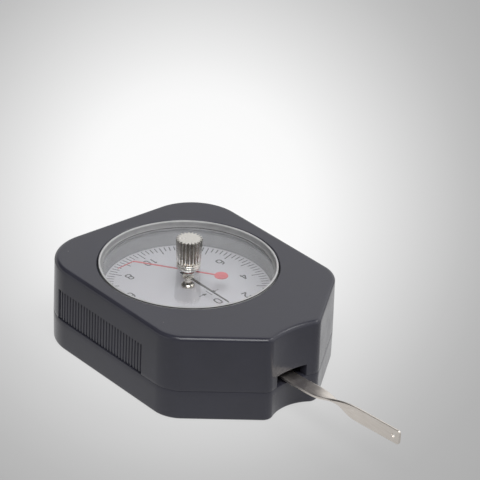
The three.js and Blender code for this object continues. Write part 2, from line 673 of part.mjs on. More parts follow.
// A flanged bush pressed into a plate, its flange on the side that towards gives.
function bush(shaftRadius, plateBottom, towards, x) {
  const bore = shaftRadius + RUNNING_GAP;
  const outer = shaftRadius + BUSH_WALL;
  const back = towards > 0 ? plateBottom : plateBottom + PLATE_THICKNESS;
  const seat = towards > 0 ? plateBottom + PLATE_THICKNESS : plateBottom;
  const face = seat + towards * BUSH_FLANGE;
  const flange = outer + BUSH_FLANGE;
  return turned([
    [bore, back], [outer, back], [outer, seat], [flange, seat], [flange, face], [bore, face], [bore, back],
  ], SMALL_STEPS, x);
}

function leverShaft() {
  return rod(LEVER_SHAFT_RADIUS, lowerPlateBottom, upperPlateTop, SMALL_STEPS, PIVOT_DISTANCE);
}

function clampScrewPlaces() {
  const first = PIVOT_DISTANCE + HUB_FLANGE_RADIUS + CLAMP_SCREW_INSET;
  return [new THREE.Vector2(first, 0), new THREE.Vector2(first + CLAMP_SCREW_PITCH, 0)];
}

// The brass hub: a neck for the sector and the spring, a flange, and the arm under the stylus.
function leverHub() {
  const bottom = bushFlangeTop + STACK_GAP;
  const top = upperPlateBottom - BUSH_FLANGE - STACK_GAP;
  let hub = turned([
    [0, bottom], [HUB_NECK_RADIUS, bottom], [HUB_NECK_RADIUS, armBottom], [HUB_FLANGE_RADIUS, armBottom],
    [HUB_FLANGE_RADIUS, stylusBottom], [HUB_NECK_RADIUS, stylusBottom], [HUB_NECK_RADIUS, top], [0, top],
  ], SMALL_STEPS, PIVOT_DISTANCE);
  hub = hub.add(block([PIVOT_DISTANCE, PIVOT_DISTANCE + armReach], [-ARM_HALF_WIDTH, ARM_HALF_WIDTH],
    [armBottom, stylusBottom]));
  const bore = LEVER_SHAFT_RADIUS + PRESS_GAP;
  hub = hub.subtract(rod(bore, bottom - CUT_OVERRUN, top + CUT_OVERRUN, SMALL_STEPS, PIVOT_DISTANCE));
  const clampHole = [armBottom - CUT_OVERRUN, stylusBottom + CUT_OVERRUN];
  return drilled(hub, CLAMP_SCREW_RADIUS + PRESS_GAP, ...clampHole, clampScrewPlaces());
}

// Outline points of one tooth: root, tip, tip, root, centred on angle, for a gear of given size.
function toothPoints(pitchRadius, angle, x) {
  const pitchAngle = Math.PI * gearModule / pitchRadius;
  const rootRadius = pitchRadius - ROOT_SHARE * gearModule;
  const tipRadius = pitchRadius + TIP_SHARE * gearModule;
  const halfTip = pitchAngle * TIP_THICKNESS_SHARE / 2;
  const halfPitch = pitchAngle * PITCH_THICKNESS_SHARE / 2;
  const halfRoot = halfPitch + (halfPitch - halfTip) * ROOT_SHARE / TIP_SHARE / 2;
  const flanks = [
    [rootRadius, -halfRoot], [pitchRadius, -halfPitch], [tipRadius, -halfTip],
    [tipRadius, halfTip], [pitchRadius, halfPitch], [rootRadius, halfRoot],
  ];
  return flanks.map(([radius, offset]) => {
    const point = polar(radius, angle + offset);
    return new THREE.Vector2(point.x + x, point.y);
  });
}

function sectorGear() {
  const pitchRadius = gearModule * sectorPitchTeeth / 2;
  const pitchAngle = 2 * Math.PI / sectorPitchTeeth;
  const half = pitchAngle * SECTOR_TEETH / 2;
  const outline = [];
  for (let i = 0; i < SECTOR_TEETH; i += 1) {
    outline.push(...toothPoints(pitchRadius, Math.PI - half + pitchAngle * (i + 1 / 2), PIVOT_DISTANCE));
  }
  const neck = HUB_FLANGE_RADIUS;
  outline.push(new THREE.Vector2(PIVOT_DISTANCE, -neck), new THREE.Vector2(PIVOT_DISTANCE, neck));
  let sector = slab(outline, sectorBottom, armBottom);
  sector = sector.add(rod(HUB_FLANGE_RADIUS, sectorBottom, armBottom, SMALL_STEPS, PIVOT_DISTANCE));
  const inner = pitchRadius - SECTOR_RIM;
  const windowStart = 2 * HUB_FLANGE_RADIUS;
  const spread = half / 2;
  const opening = [
    polar(windowStart, Math.PI - spread / 2), polar(inner, Math.PI - spread), polar(inner, Math.PI),
    polar(inner, Math.PI + spread), polar(windowStart, Math.PI + spread / 2),
  ].map((point) => new THREE.Vector2(point.x + PIVOT_DISTANCE, point.y));
  const span = [sectorBottom - CUT_OVERRUN, armBottom + CUT_OVERRUN];
  sector = sector.subtract(slab(opening, ...span));
  return sector.subtract(rod(HUB_NECK_RADIUS + PRESS_GAP, ...span, SMALL_STEPS, PIVOT_DISTANCE));
}

function pinion() {
  const pitchRadius = gearModule * PINION_TEETH / 2;
  const outline = [];
  for (let i = 0; i < PINION_TEETH; i += 1) {
    outline.push(...toothPoints(pitchRadius, 2 * Math.PI * i / PINION_TEETH, 0));
  }
  const middle = (sectorBottom + armBottom) / 2;
  const [bottom, top] = [middle - PINION_LENGTH / 2, middle + PINION_LENGTH / 2];
  const bore = rod(ARBOR_RADIUS + PRESS_GAP, bottom - CUT_OVERRUN, top + CUT_OVERRUN, SMALL_STEPS);
  return slab(outline, bottom, top).subtract(bore);
}

// A flat ribbon wound into a spiral about (x, y), whose outer end lies at angle end.
function spiral(spring, end, x) {
  const steps = Math.round(spring.turns * SPIRAL_STEPS);
  const inside = [];
  const outside = [];
  for (let i = 0; i <= steps; i += 1) {
    const turns = spring.turns * i / steps;
    const radius = spring.inner + spring.pitch * turns;
    const angle = end + 2 * Math.PI * (turns - spring.turns);
    inside.push(polar(radius - spring.thickness / 2, angle));
    outside.push(polar(radius + spring.thickness / 2, angle));
  }
  const outline = [...outside, ...inside.reverse()].map((point) => new THREE.Vector2(point.x + x, point.y));
  return slab(outline, spring.bottom, spring.bottom + spring.height);
}

function rangeSpring() {
  return spiral({
    inner: rangeSpringInner, thickness: RANGE_SPRING_THICKNESS, pitch: RANGE_SPRING_PITCH,
    turns: RANGE_SPRING_TURNS, bottom: rangeSpringBottom, height: RANGE_SPRING_HEIGHT,
  }, 0, PIVOT_DISTANCE);
}

function hairspring() {
  return spiral({
    inner: hairspringInner, thickness: HAIRSPRING_THICKNESS, pitch: HAIRSPRING_PITCH,
    turns: HAIRSPRING_TURNS, bottom: hairspringBottom, height: HAIRSPRING_HEIGHT,
  }, Math.PI, 0);
}

function springStud() {
  const x = PIVOT_DISTANCE + rangeSpringOuter + PRESS_GAP + SPRING_STUD_RADIUS;
  return rod(SPRING_STUD_RADIUS, lowerPlateTop, rangeSpringBottom + RANGE_SPRING_HEIGHT, FINE_STEPS, x);
}

function hairspringStud() {
  const x = -hairspringOuter - PRESS_GAP - STUD_RADIUS;
  return rod(STUD_RADIUS, hairspringBottom, upperPlateBottom, FINE_STEPS, x);
}

function hairspringCollet() {
  const bottom = hairspringBottom - SPRING_GAP;
  const top = hairspringBottom + HAIRSPRING_HEIGHT + SPRING_GAP;
  return ring(ARBOR_RADIUS + PRESS_GAP, COLLET_RADIUS, bottom, top, SMALL_STEPS);
}

function pointerArbor() {
  const step = bushFlangeTop + STACK_GAP;
  return turned([
    [0, lowerPlateBottom], [ARBOR_PIVOT_RADIUS, lowerPlateBottom], [ARBOR_PIVOT_RADIUS, step],
    [ARBOR_RADIUS, step], [ARBOR_RADIUS, arborTop], [0, arborTop],
  ], SMALL_STEPS);
}

function pointerHub() {
  const bottom = pointerBottom - POINTER_HUB_DROP;
  return ring(ARBOR_RADIUS + PRESS_GAP, POINTER_HUB_RADIUS, bottom, arborTop, SMALL_STEPS);
}

function forcePointer() {
  const root = POINTER_ROOT_WIDTH / 2;
  const tip = POINTER_TIP_WIDTH / 2;
  const outline = [
    [pointerReach, -tip], [pointerReach + tip, 0], [pointerReach, tip], [0, root],
    [-POINTER_TAIL, root], [-POINTER_TAIL, -root], [0, -root],
  ].map(([x, y]) => new THREE.Vector2(x, y));
  const eye = rod(POINTER_EYE_RADIUS, pointerBottom, pointerTop, SMALL_STEPS);
  const span = [pointerBottom - CUT_OVERRUN, pointerTop + CUT_OVERRUN];
  const bore = rod(POINTER_HUB_RADIUS + PRESS_GAP, ...span, SMALL_STEPS);
  return slab(outline, pointerBottom, pointerTop).add(eye).subtract(bore);
}

// The red pointer along +X: a disc behind the eye, a straight blade, then an end bent down.
function maxPointer() {
  const half = MAX_POINTER_WIDTH / 2;
  const drop = MAX_POINTER_DIP;
  const run = maxPointerReach - maxPointerBend;
  const slope = Math.hypot(run, drop);
  const across = MAX_POINTER_THICKNESS * slope / run;
  const side = [
    [0, maxPointerTop], [maxPointerBend, maxPointerTop], [maxPointerReach, maxPointerTop - drop],
    [maxPointerReach, maxPointerTop - drop - across], [maxPointerBend, maxPointerBottom],
    [0, maxPointerBottom],
  ].map(([x, z]) => new THREE.Vector2(x, z));
  const width = { depth: MAX_POINTER_WIDTH, bevelEnabled: false };
  const blade = new THREE.ExtrudeGeometry(new THREE.Shape(side), width);
  blade.rotateX(Math.PI / 2).translate(0, half, 0);
  const span = [maxPointerBottom, maxPointerTop];
  const tail = block([-MAX_POINTER_DISC_REACH, 0], [-half, half], span);
  const disc = rod(MAX_POINTER_DISC_RADIUS, ...span, SMALL_STEPS, -MAX_POINTER_DISC_REACH);
  const eye = rod(MAX_POINTER_EYE_RADIUS, ...span, SMALL_STEPS);
  const bore = [maxPointerBottom - CUT_OVERRUN, maxPointerTop + CUT_OVERRUN];
  return toSolid(blade).add(tail).add(disc).add(eye)
    .subtract(rod(STEM_RADIUS + PRESS_GAP, ...bore, SMALL_STEPS));
}

function resetStem() {
  return turned([
    [0, stemBottom], [STEM_TIP_RADIUS, stemBottom], [STEM_FLANGE_RADIUS, stemFlangeBottom],
    [STEM_FLANGE_RADIUS, maxPointerBottom - STACK_GAP], [STEM_RADIUS, maxPointerBottom - STACK_GAP],
    [STEM_RADIUS, stemTop], [0, stemTop],
  ], SMALL_STEPS);
}

function stemClip() {
  return ring(STEM_RADIUS + PRESS_GAP, CLIP_RADIUS, clipBottom, clipTop, SMALL_STEPS);
}

function stemBush() {
  return ring(STEM_RADIUS + RUNNING_GAP, STEM_BUSH_RADIUS, lensFaceBottom, stemBushTop, SMALL_STEPS);
}

// A ring of crests at radius and roots depth below them, one of each for every flute.
function flutedRing(radius, depth, height) {
  const points = [];
  for (let i = 0; i < 2 * KNOB_FLUTES; i += 1) {
    const point = polar(i % 2 ? radius - depth : radius, Math.PI * i / KNOB_FLUTES);
    points.push(new THREE.Vector3(point.x, point.y, height));
  }
  return points;
}

// The fluted knob: V flutes on a head that widens upwards, above a plain collar.
function resetKnob() {
  const head = lofted([
    flutedRing(KNOB_BASE_RADIUS - KNOB_CHAMFER, KNOB_CHAMFER, knobFluteBottom),
    flutedRing(KNOB_BASE_RADIUS, KNOB_FLUTE_DEPTH, knobFluteBottom + KNOB_CHAMFER),
    flutedRing(KNOB_RADIUS, KNOB_FLUTE_DEPTH, knobTop - KNOB_CHAMFER),
    flutedRing(KNOB_RADIUS - KNOB_CHAMFER, KNOB_CHAMFER, knobTop),
  ]);
  const collar = rod(KNOB_COLLAR_RADIUS, knobBottom, knobFluteBottom + KNOB_CHAMFER, 2 * SMALL_STEPS);
  const bore = rod(STEM_RADIUS + PRESS_GAP, knobBottom - CUT_OVERRUN, stemTop + STACK_GAP, SMALL_STEPS);
  return head.add(collar).subtract(bore);
}

// Eases from 0 to 1 as share goes from 0 to 1, level at both ends.
function eased(share) {
  const held = Math.min(Math.max(share, 0), 1);
  return held * held * (3 - 2 * held);
}

// The strip's section at reach from the pivot: flat at the root, turned on edge past the twist.
function stylusSection(reach, halfWidth) {
  const angle = Math.PI / 2 * eased((reach - STYLUS_TWIST_START) / STYLUS_TWIST_LENGTH);
  const run = Math.max(reach - STYLUS_BEND_START, 0) / (STYLUS_REACH - STYLUS_BEND_START);
  const middle = (stylusBottom + stylusTop) / 2 + STYLUS_RISE * run;
  const halfThick = STYLUS_THICKNESS / 2;
  const corners = [
    [-halfWidth, -halfThick], [halfWidth, -halfThick], [halfWidth, halfThick], [-halfWidth, halfThick],
  ];
  return corners.map(([across, up]) => {
    const y = across * Math.cos(angle) + up * Math.sin(angle);
    const z = middle - across * Math.sin(angle) + up * Math.cos(angle);
    const point = new THREE.Vector3(PIVOT_DISTANCE + reach, y, z);
    point.u = across;
    point.v = up;
    return point;
  });
}

function stylus() {
  const half = STYLUS_WIDTH / 2;
  const start = HUB_NECK_RADIUS + STYLUS_ROOT_GAP;
  const twistEnd = STYLUS_TWIST_START + STYLUS_TWIST_LENGTH;
  const twistSteps = 12;
  const reaches = [start, STYLUS_BEND_START];
  for (let i = 0; i <= twistSteps; i += 1) {
    reaches.push(STYLUS_TWIST_START + STYLUS_TWIST_LENGTH * i / twistSteps);
  }
  reaches.push((twistEnd + STYLUS_REACH) / 2);
  const rings = reaches.map((reach) => stylusSection(reach, half));
  const tipSteps = 4;
  for (let i = 0; i <= tipSteps; i += 1) {
    const angle = Math.PI / 2 * i / tipSteps;
    const reach = STYLUS_REACH - STYLUS_TIP_RADIUS * (1 - Math.sin(angle));
    rings.push(stylusSection(reach, half - STYLUS_TIP_RADIUS * (1 - Math.cos(angle))));
  }
  let strip = lofted(rings);
  const eyeReach = STYLUS_REACH - STYLUS_EYE_INSET;
  const eyeSection = stylusSection(eyeReach, half);
  const eyeHeight = (eyeSection[0].z + eyeSection[2].z) / 2;
  const drill = new THREE.CylinderGeometry(STYLUS_EYE_RADIUS, STYLUS_EYE_RADIUS, STYLUS_WIDTH, FINE_STEPS);
  strip = strip.subtract(toSolid(drill.translate(PIVOT_DISTANCE + eyeReach, 0, eyeHeight)));
  const clampHole = [stylusBottom - CUT_OVERRUN, stylusTop + CUT_OVERRUN];
  return drilled(strip, CLAMP_SCREW_RADIUS + PRESS_GAP, ...clampHole, clampScrewPlaces());
}

function clampScrew(place) {
  const screw = { radius: CLAMP_SCREW_RADIUS, headRadius: CLAMP_SCREW_HEAD_RADIUS, head: CLAMP_SCREW_HEAD };
  return slottedScrew(screw, stylusTop, 1, stylusTop - armBottom - STACK_GAP, place.x, place.y);
}

// A stop pin stands where the arm's side meets it at the end of the swing.
function stopPin(side) {
  const offset = ARM_HALF_WIDTH + STOP_PIN_GAP + STOP_PIN_RADIUS;
  const angle = side * (LEVER_SWING + Math.asin(offset / stopPinReach));
  const place = polar(stopPinReach, angle);
  return rod(STOP_PIN_RADIUS, lowerPlateTop, stylusBottom - STOP_PIN_GAP, SMALL_STEPS,
    PIVOT_DISTANCE + place.x, place.y);
}

const gauge = new THREE.Group();

function add(name, solid, finish) {
  const mesh = new THREE.Mesh(toGeometry(solid), new THREE.MeshStandardMaterial(finish));
  mesh.name = name;
  gauge.add(mesh);
  return mesh;
}

add('top_shell', topShell(), PLASTIC);
add('back_cover', backCover(), BACK_PLASTIC);
postPlaces.forEach((post, i) => add(`case_screw_${i + 1}`, caseScrew(post), STEEL));
add('lens', lens(), CLEAR);
add('lens_seal', lensSeal(), RUBBER);
add('dial_plate', dialPlate(), DIAL_PAINT);
add('dial_boss', dialBoss(), NICKEL);
[1, 3, 5].forEach((sixth, i) => {
  add(`dial_foot_${i + 1}`, dialFoot(polar(DIAL_FOOT_REACH, sixth * Math.PI / 3)), BRASS);
});

add('lower_plate', lowerPlate(), BRASS);
add('upper_plate', upperPlate(), BRASS);
pillarPlaces().forEach((spot, i) => {
  add(`pillar_${i + 1}`, pillar(spot), BRASS);
  add(`pillar_screw_${i + 1}`, pillarScrew(spot), STEEL);
});
add('arbor_bush_lower', bush(ARBOR_PIVOT_RADIUS, lowerPlateBottom, 1, 0), BRASS);
add('arbor_bush_upper', bush(ARBOR_RADIUS, upperPlateBottom, -1, 0), BRASS);
add('lever_bush_lower', bush(LEVER_SHAFT_RADIUS, lowerPlateBottom, 1, PIVOT_DISTANCE), BRASS);
add('lever_bush_upper', bush(LEVER_SHAFT_RADIUS, upperPlateBottom, -1, PIVOT_DISTANCE), BRASS);
add('stop_pin_1', stopPin(1), STEEL);
add('stop_pin_2', stopPin(-1), STEEL);

add('lever_shaft', leverShaft(), STEEL);
add('lever_hub', leverHub(), BRASS);
add('sector_gear', sectorGear(), BRASS);
add('stylus', stylus(), STEEL);
clampScrewPlaces().forEach((spot, i) => add(`stylus_screw_${i + 1}`, clampScrew(spot), STEEL));
add('range_spring', rangeSpring(), SPRING_STEEL);
add('spring_stud', springStud(), STEEL);

add('pointer_arbor', pointerArbor(), STEEL);
add('pinion', pinion(), STEEL);
add('hairspring_collet', hairspringCollet(), BRASS);
add('hairspring', hairspring(), SPRING_STEEL);
add('hairspring_stud', hairspringStud(), BRASS);
add('pointer_hub', pointerHub(), NICKEL);
add('force_pointer', forcePointer(), BLACK_PAINT);

add('max_pointer', maxPointer(), RED_PAINT).rotation.z = MAX_POINTER_ANGLE;
add('reset_stem', resetStem(), NICKEL);
add('stem_clip', stemClip(), STEEL);
add('stem_bush', stemBush(), BRASS);
add('reset_knob', resetKnob(), NICKEL);

export default gauge;
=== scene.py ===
import math

import bmesh
import bpy
import numpy as np
from mathutils import Matrix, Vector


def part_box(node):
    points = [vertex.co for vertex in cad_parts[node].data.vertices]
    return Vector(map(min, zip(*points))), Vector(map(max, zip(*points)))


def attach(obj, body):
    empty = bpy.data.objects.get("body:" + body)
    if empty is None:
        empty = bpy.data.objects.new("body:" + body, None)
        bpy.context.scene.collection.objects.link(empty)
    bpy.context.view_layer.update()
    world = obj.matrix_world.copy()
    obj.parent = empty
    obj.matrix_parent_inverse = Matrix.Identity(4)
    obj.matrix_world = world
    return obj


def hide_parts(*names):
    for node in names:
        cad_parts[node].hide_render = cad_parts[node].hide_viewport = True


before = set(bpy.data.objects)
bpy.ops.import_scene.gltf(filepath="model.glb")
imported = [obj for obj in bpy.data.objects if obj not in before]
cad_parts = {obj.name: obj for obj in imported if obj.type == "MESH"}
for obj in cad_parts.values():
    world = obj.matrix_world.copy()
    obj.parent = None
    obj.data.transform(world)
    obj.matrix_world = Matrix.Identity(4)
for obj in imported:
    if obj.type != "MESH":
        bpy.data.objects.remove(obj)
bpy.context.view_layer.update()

# Back cover
# The lower half of the case, an injection moulding in charcoal ABS. A lip round its top edge locates
# the upper half, and four tall posts carry the screws that come in from behind.
MM = 0.001
DRAFT_SPREAD = 0.15
NOSE_CORNER_RADIUS = 2.85
NOSE_CORNER_PLACE = 7.9
NOSE_CORNER_INSET = 0.65
NOSE_LEAN = 1.05
TAPER_ANGLE = math.radians(51.2)
TAIL_CORNER_RADIUS = 14.8
SHOULDER_RADIUS = 9.5
INNER_CORNER_RADIUS = 0.6
SLOT_HALF_WIDTH = 5.17
EDGE_BREAK = 0.16
SEAM_BREAK = 0.07
SEAM_GAP = 0.05
GRIP_BACK = 19.8
GRIP_FRONT = 17.7
GRIP_GROOVES = 30
GRIP_PITCH = (GRIP_BACK + GRIP_FRONT) / GRIP_GROOVES
GROOVE_EDGE_SHARES = (0, 0.11, 0.22, 0.25, 0.28, 0.5, 0.72, 0.75, 0.78, 0.89)
SLOT_EDGE_SHARES = (0.25, 0.6, 1.1, 1.8, 7, 7.4)
NOSE_STEPS, TAPER_STEPS, SHOULDER_STEPS, TAIL_STEPS, END_STEPS = 16, 26, 24, 32, 20
SHELL_WALL = 2.2
FLOOR_THICKNESS = 2
BACK_EDGE_RADIUS = 0.6
LIP_GAP = 0.12
LIP_THICKNESS = 1.1
LIP_GATE_HALF_WIDTH = 1.2 * SLOT_HALF_WIDTH
POST_RADIUS = 2.8
SCREW_POST_DISTANCE = 30.6
SCREW_SHANK_HOLE = 1.14
SCREW_HEAD_HOLE = 2.16
SCREW_SEAT = 2.6
PILLAR_BOSS_RADIUS = 2.6
CHARCOAL_TONES = (0.038, 0.038, 0.051), (0.044, 0.044, 0.060)
CHARCOAL_ROUGHNESS = 0.17, 0.27
GRAIN_STRENGTH = 0.1
GRAIN_DEPTH = 0.00005
PITS_PER_METRE = 5200
DUST_SHARE = 0.5
DUST_TONE = (0.3, 0.29, 0.28)


def node_box(name):
    """Lowest and highest corner of a CAD node at rest, in millimetres."""
    return np.array([list(corner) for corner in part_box(name)]) / MM


def direction(angle):
    """The flat unit vector at an angle, or at each of many."""
    return np.stack([np.cos(angle), np.sin(angle)], -1)


shell_low, shell_high = node_box("top_shell")
cover_low, cover_high = node_box("back_cover")
case_nose = shell_high[0] - DRAFT_SPREAD
case_tail = -shell_low[0] - DRAFT_SPREAD
case_half_width = shell_high[1] - DRAFT_SPREAD
case_top, seam = shell_high[2], shell_low[2]
nose_centre = np.array([case_nose - NOSE_CORNER_RADIUS, NOSE_CORNER_PLACE])
hollow_reach = nose_centre[0] + NOSE_CORNER_INSET
taper_turn = math.pi / 2 - TAPER_ANGLE
taper_normal = direction(taper_turn)
taper_run = np.array([-taper_normal[1], taper_normal[0]])
taper_reach = nose_centre @ taper_normal + NOSE_CORNER_RADIUS


def arc(centre, radius, start, end, steps):
    """Points of an arc about centre between two angles."""
    return np.asarray(centre) + radius * direction(np.linspace(start, end, steps))


def run_between(start, end, shares):
    """Points on the straight line from start to end, at those shares of its length."""
    return start + np.asarray(shares)[:, None] * (end - start)


def at_height(points, height):
    """Flat points lifted to one height."""
    return np.column_stack([points, np.full(len(points), height)])


def rings_like(ring, centre, profile):
    """A circle about centre for each (radius, height) pair, with a point in the direction of each point of
    the ring."""
    away = ring[:, :2] - centre
    away = away / np.maximum(np.linalg.norm(away, axis=1), 1e-9)[:, None]
    return [at_height(centre + away * radius, height) for radius, height in profile]


# Where the grip's ribs and grooves need an edge along a long side, and the slot's rounding across the nose.
groove_cells = np.arange(GRIP_GROOVES)[:, None] + np.array(GROOVE_EDGE_SHARES)
grip_columns = np.concatenate([GRIP_FRONT + EDGE_BREAK * np.array([8, 1, 0.5]),
                               GRIP_FRONT - GRIP_PITCH * groove_cells.ravel(),
                               [-GRIP_BACK, -GRIP_BACK - EDGE_BREAK / 2]])
slot_columns = np.concatenate([np.linspace(0, SLOT_HALF_WIDTH, 5),
                               SLOT_HALF_WIDTH + EDGE_BREAK * np.array(SLOT_EDGE_SHARES)])
screw_places = SCREW_POST_DISTANCE * direction(math.pi / 4 * np.array([1, 3, 5, 7]))


def case_ring(spread, height, inside=False):
    """The case's outline moved outwards by spread, as one ring of points at that height.

    Half of it runs from the middle of the nose over its corner, the taper, the shoulder, the long side
    and the tail's corner to the middle of the tail. The other half is its mirror image. The nose is
    hollowed by an arc that bows inwards and meets its two corner arcs smoothly. Going up the lower
    half of the case, the arc grows flatter. Inside the case it is the same at every height.
    """
    lean = 0.5 if inside else min(height / seam, 1)
    reach = hollow_reach + NOSE_LEAN * lean
    inset = reach - nose_centre[0]
    hollow_radius = ((NOSE_CORNER_PLACE ** 2 + inset ** 2 - NOSE_CORNER_RADIUS ** 2)
                     / (2 * (NOSE_CORNER_RADIUS - inset)))
    hollow_centre = np.array([reach + hollow_radius, 0])
    corner_radius = max(NOSE_CORNER_RADIUS + spread, INNER_CORNER_RADIUS)
    away = hollow_centre @ taper_normal - taper_reach - spread + corner_radius
    apart = hollow_radius - spread + corner_radius
    corner = hollow_centre - taper_normal * away + taper_run * math.sqrt(apart ** 2 - away ** 2)
    meeting = math.asin(corner[1] / apart)
    side, tail = case_half_width + spread, -case_tail - spread
    shoulder_radius, tail_radius = SHOULDER_RADIUS + spread, TAIL_CORNER_RADIUS + spread
    shoulder = (taper_reach + spread - shoulder_radius
                - (side - shoulder_radius) * taper_normal[1]) / taper_normal[0]
    nose_arc = arc(corner, corner_radius, -meeting, taper_turn, NOSE_STEPS)
    shoulder_arc = arc((shoulder, side - shoulder_radius), shoulder_radius, taper_turn, math.pi / 2,
                       SHOULDER_STEPS)
    past = np.maximum(tail + tail_radius - grip_columns, 0)
    flank = np.stack([grip_columns, side - tail_radius + np.sqrt(tail_radius ** 2 - past ** 2)], 1)
    tail_turn = math.pi / 2 + math.asin(past[-1] / tail_radius)
    tail_arc = arc((tail + tail_radius, side - tail_radius), tail_radius, tail_turn, math.pi, TAIL_STEPS)[1:]
    across = np.concatenate([slot_columns, np.linspace(slot_columns[-1], nose_arc[0, 1], 5)[1:-1]])
    face = np.stack([hollow_centre[0] - np.sqrt((hollow_radius - spread) ** 2 - across ** 2), across], 1)
    taper = run_between(nose_arc[-1], shoulder_arc[0], np.linspace(0, 1, TAPER_STEPS)[1:-1])
    end = run_between(tail_arc[-1], np.array([tail, 0]), np.linspace(0, 1, END_STEPS)[1:])
    half = np.concatenate([face, nose_arc, taper, shoulder_arc, flank, tail_arc, end])
    return at_height(np.concatenate([half, (half * [1, -1])[-2:0:-1]]), height)


def grid_quads(rows, columns, close_rows=False, close_columns=True):
    """Quads of a grid of points stored row by row. They face outwards where rows climb and columns turn
    left."""
    row = np.arange(rows if close_rows else rows - 1)[:, None]
    column = np.arange(columns if close_columns else columns - 1)[None, :]
    above, after = (row + 1) % rows, (column + 1) % columns
    return np.stack([row * columns + column, row * columns + after, above * columns + after,
                     above * columns + column], -1)


def new_piece(name, parts, materials, crease=35, face_materials=None):
    """A closed mesh from (points, quads) pairs in millimetres, smooth but for edges sharper than crease
    degrees."""
    points = [some.reshape(-1, 3) for some, quads in parts]
    starts = np.cumsum([0] + [len(some) for some in points])
    faces = [quads.reshape(-1, 4) + start for (some, quads), start in zip(parts, starts)]
    mesh = bpy.data.meshes.new(name)
    mesh.from_pydata(np.concatenate(points) * MM, [], np.concatenate(faces).tolist())
    for material in materials:
        mesh.materials.append(material)
    if face_materials is not None:
        mesh.polygons.foreach_set("material_index", face_materials.astype(np.int32))
    edit = bmesh.new()
    edit.from_mesh(mesh)
    bmesh.ops.remove_doubles(edit, verts=edit.verts, dist=1e-7)
    bmesh.ops.dissolve_degenerate(edit, edges=edit.edges, dist=1e-8)
    bmesh.ops.recalc_face_normals(edit, faces=edit.faces)
    edit.to_mesh(mesh)
    edit.free()
    mesh.polygons.foreach_set("use_smooth", np.ones(len(mesh.polygons), dtype=bool))
    mesh.set_sharp_from_angle(angle=math.radians(crease))
    piece = bpy.data.objects.new(name, mesh)
    bpy.context.scene.collection.objects.link(piece)
    return piece


def turned(profile, steps, centre=(0, 0)):
    """A profile of (radius, height) pairs turned about the upright line through centre: row i is point i
    at every angle. The profile starts and ends on the axis, or its end meets its start."""
    radius, height = np.array(profile, float).T[:, :, None]
    angle = np.linspace(0, 2 * math.pi, steps, endpoint=False)
    x, y = centre[0] + radius * np.cos(angle), centre[1] + radius * np.sin(angle)
    return np.stack([x, y, np.broadcast_to(height, x.shape)], -1), grid_quads(*x.shape)


def section(inner, outer, low, high):
    """The corners of a ring's square-cut section, from the foot of its bore."""
    return [(inner, low), (outer, low), (outer, high), (inner, high)]


def quarter(ring, number):
    """One quarter of a flat ring's area: its stretch of the ring, closed over the middle of the case.

    The two straight sides run to the point (middle x, 0) and have the same points as the next quarter's.
    """
    count = len(ring)
    cut = int(np.argmin(np.abs(ring[:count // 2, 0])))
    stops = [0, cut, count // 2, count - cut, count]
    stretch = ring[np.arange(stops[number], stops[number + 1] + 1) % count]
    middle = np.array([ring[cut, 0], 0, ring[0, 2]])
    shares = np.linspace(0, 1, 24)[:-1]
    return np.concatenate([stretch[:-1], run_between(stretch[-1], middle, shares),
                           run_between(middle, stretch[0], shares)])


def drilled_quarter(low_ring, high_ring, profile, number, centre):
    """The floor of one quarter with its post: from the outer face's edge in to the hole, up the hole and
    down the post by a profile of (radius, height) pairs, then out over the inner face to its edge."""
    low, high = quarter(low_ring, number), quarter(high_ring, number)
    rows = rings_like(low, centre, profile)
    start = [low + (rows[0] - low) * share for share in (0, 0.4, 0.8)]
    end = [rows[-1] + (high - rows[-1]) * share for share in (0.3, 0.7, 1)]
    points = np.stack(start + rows + end)
    return points, grid_quads(*points.shape[:2])


def arc_shares(steps):
    """Sine and cosine of a quarter turn in equal steps."""
    angle = np.linspace(0, math.pi / 2, steps)
    return np.sin(angle), np.cos(angle)


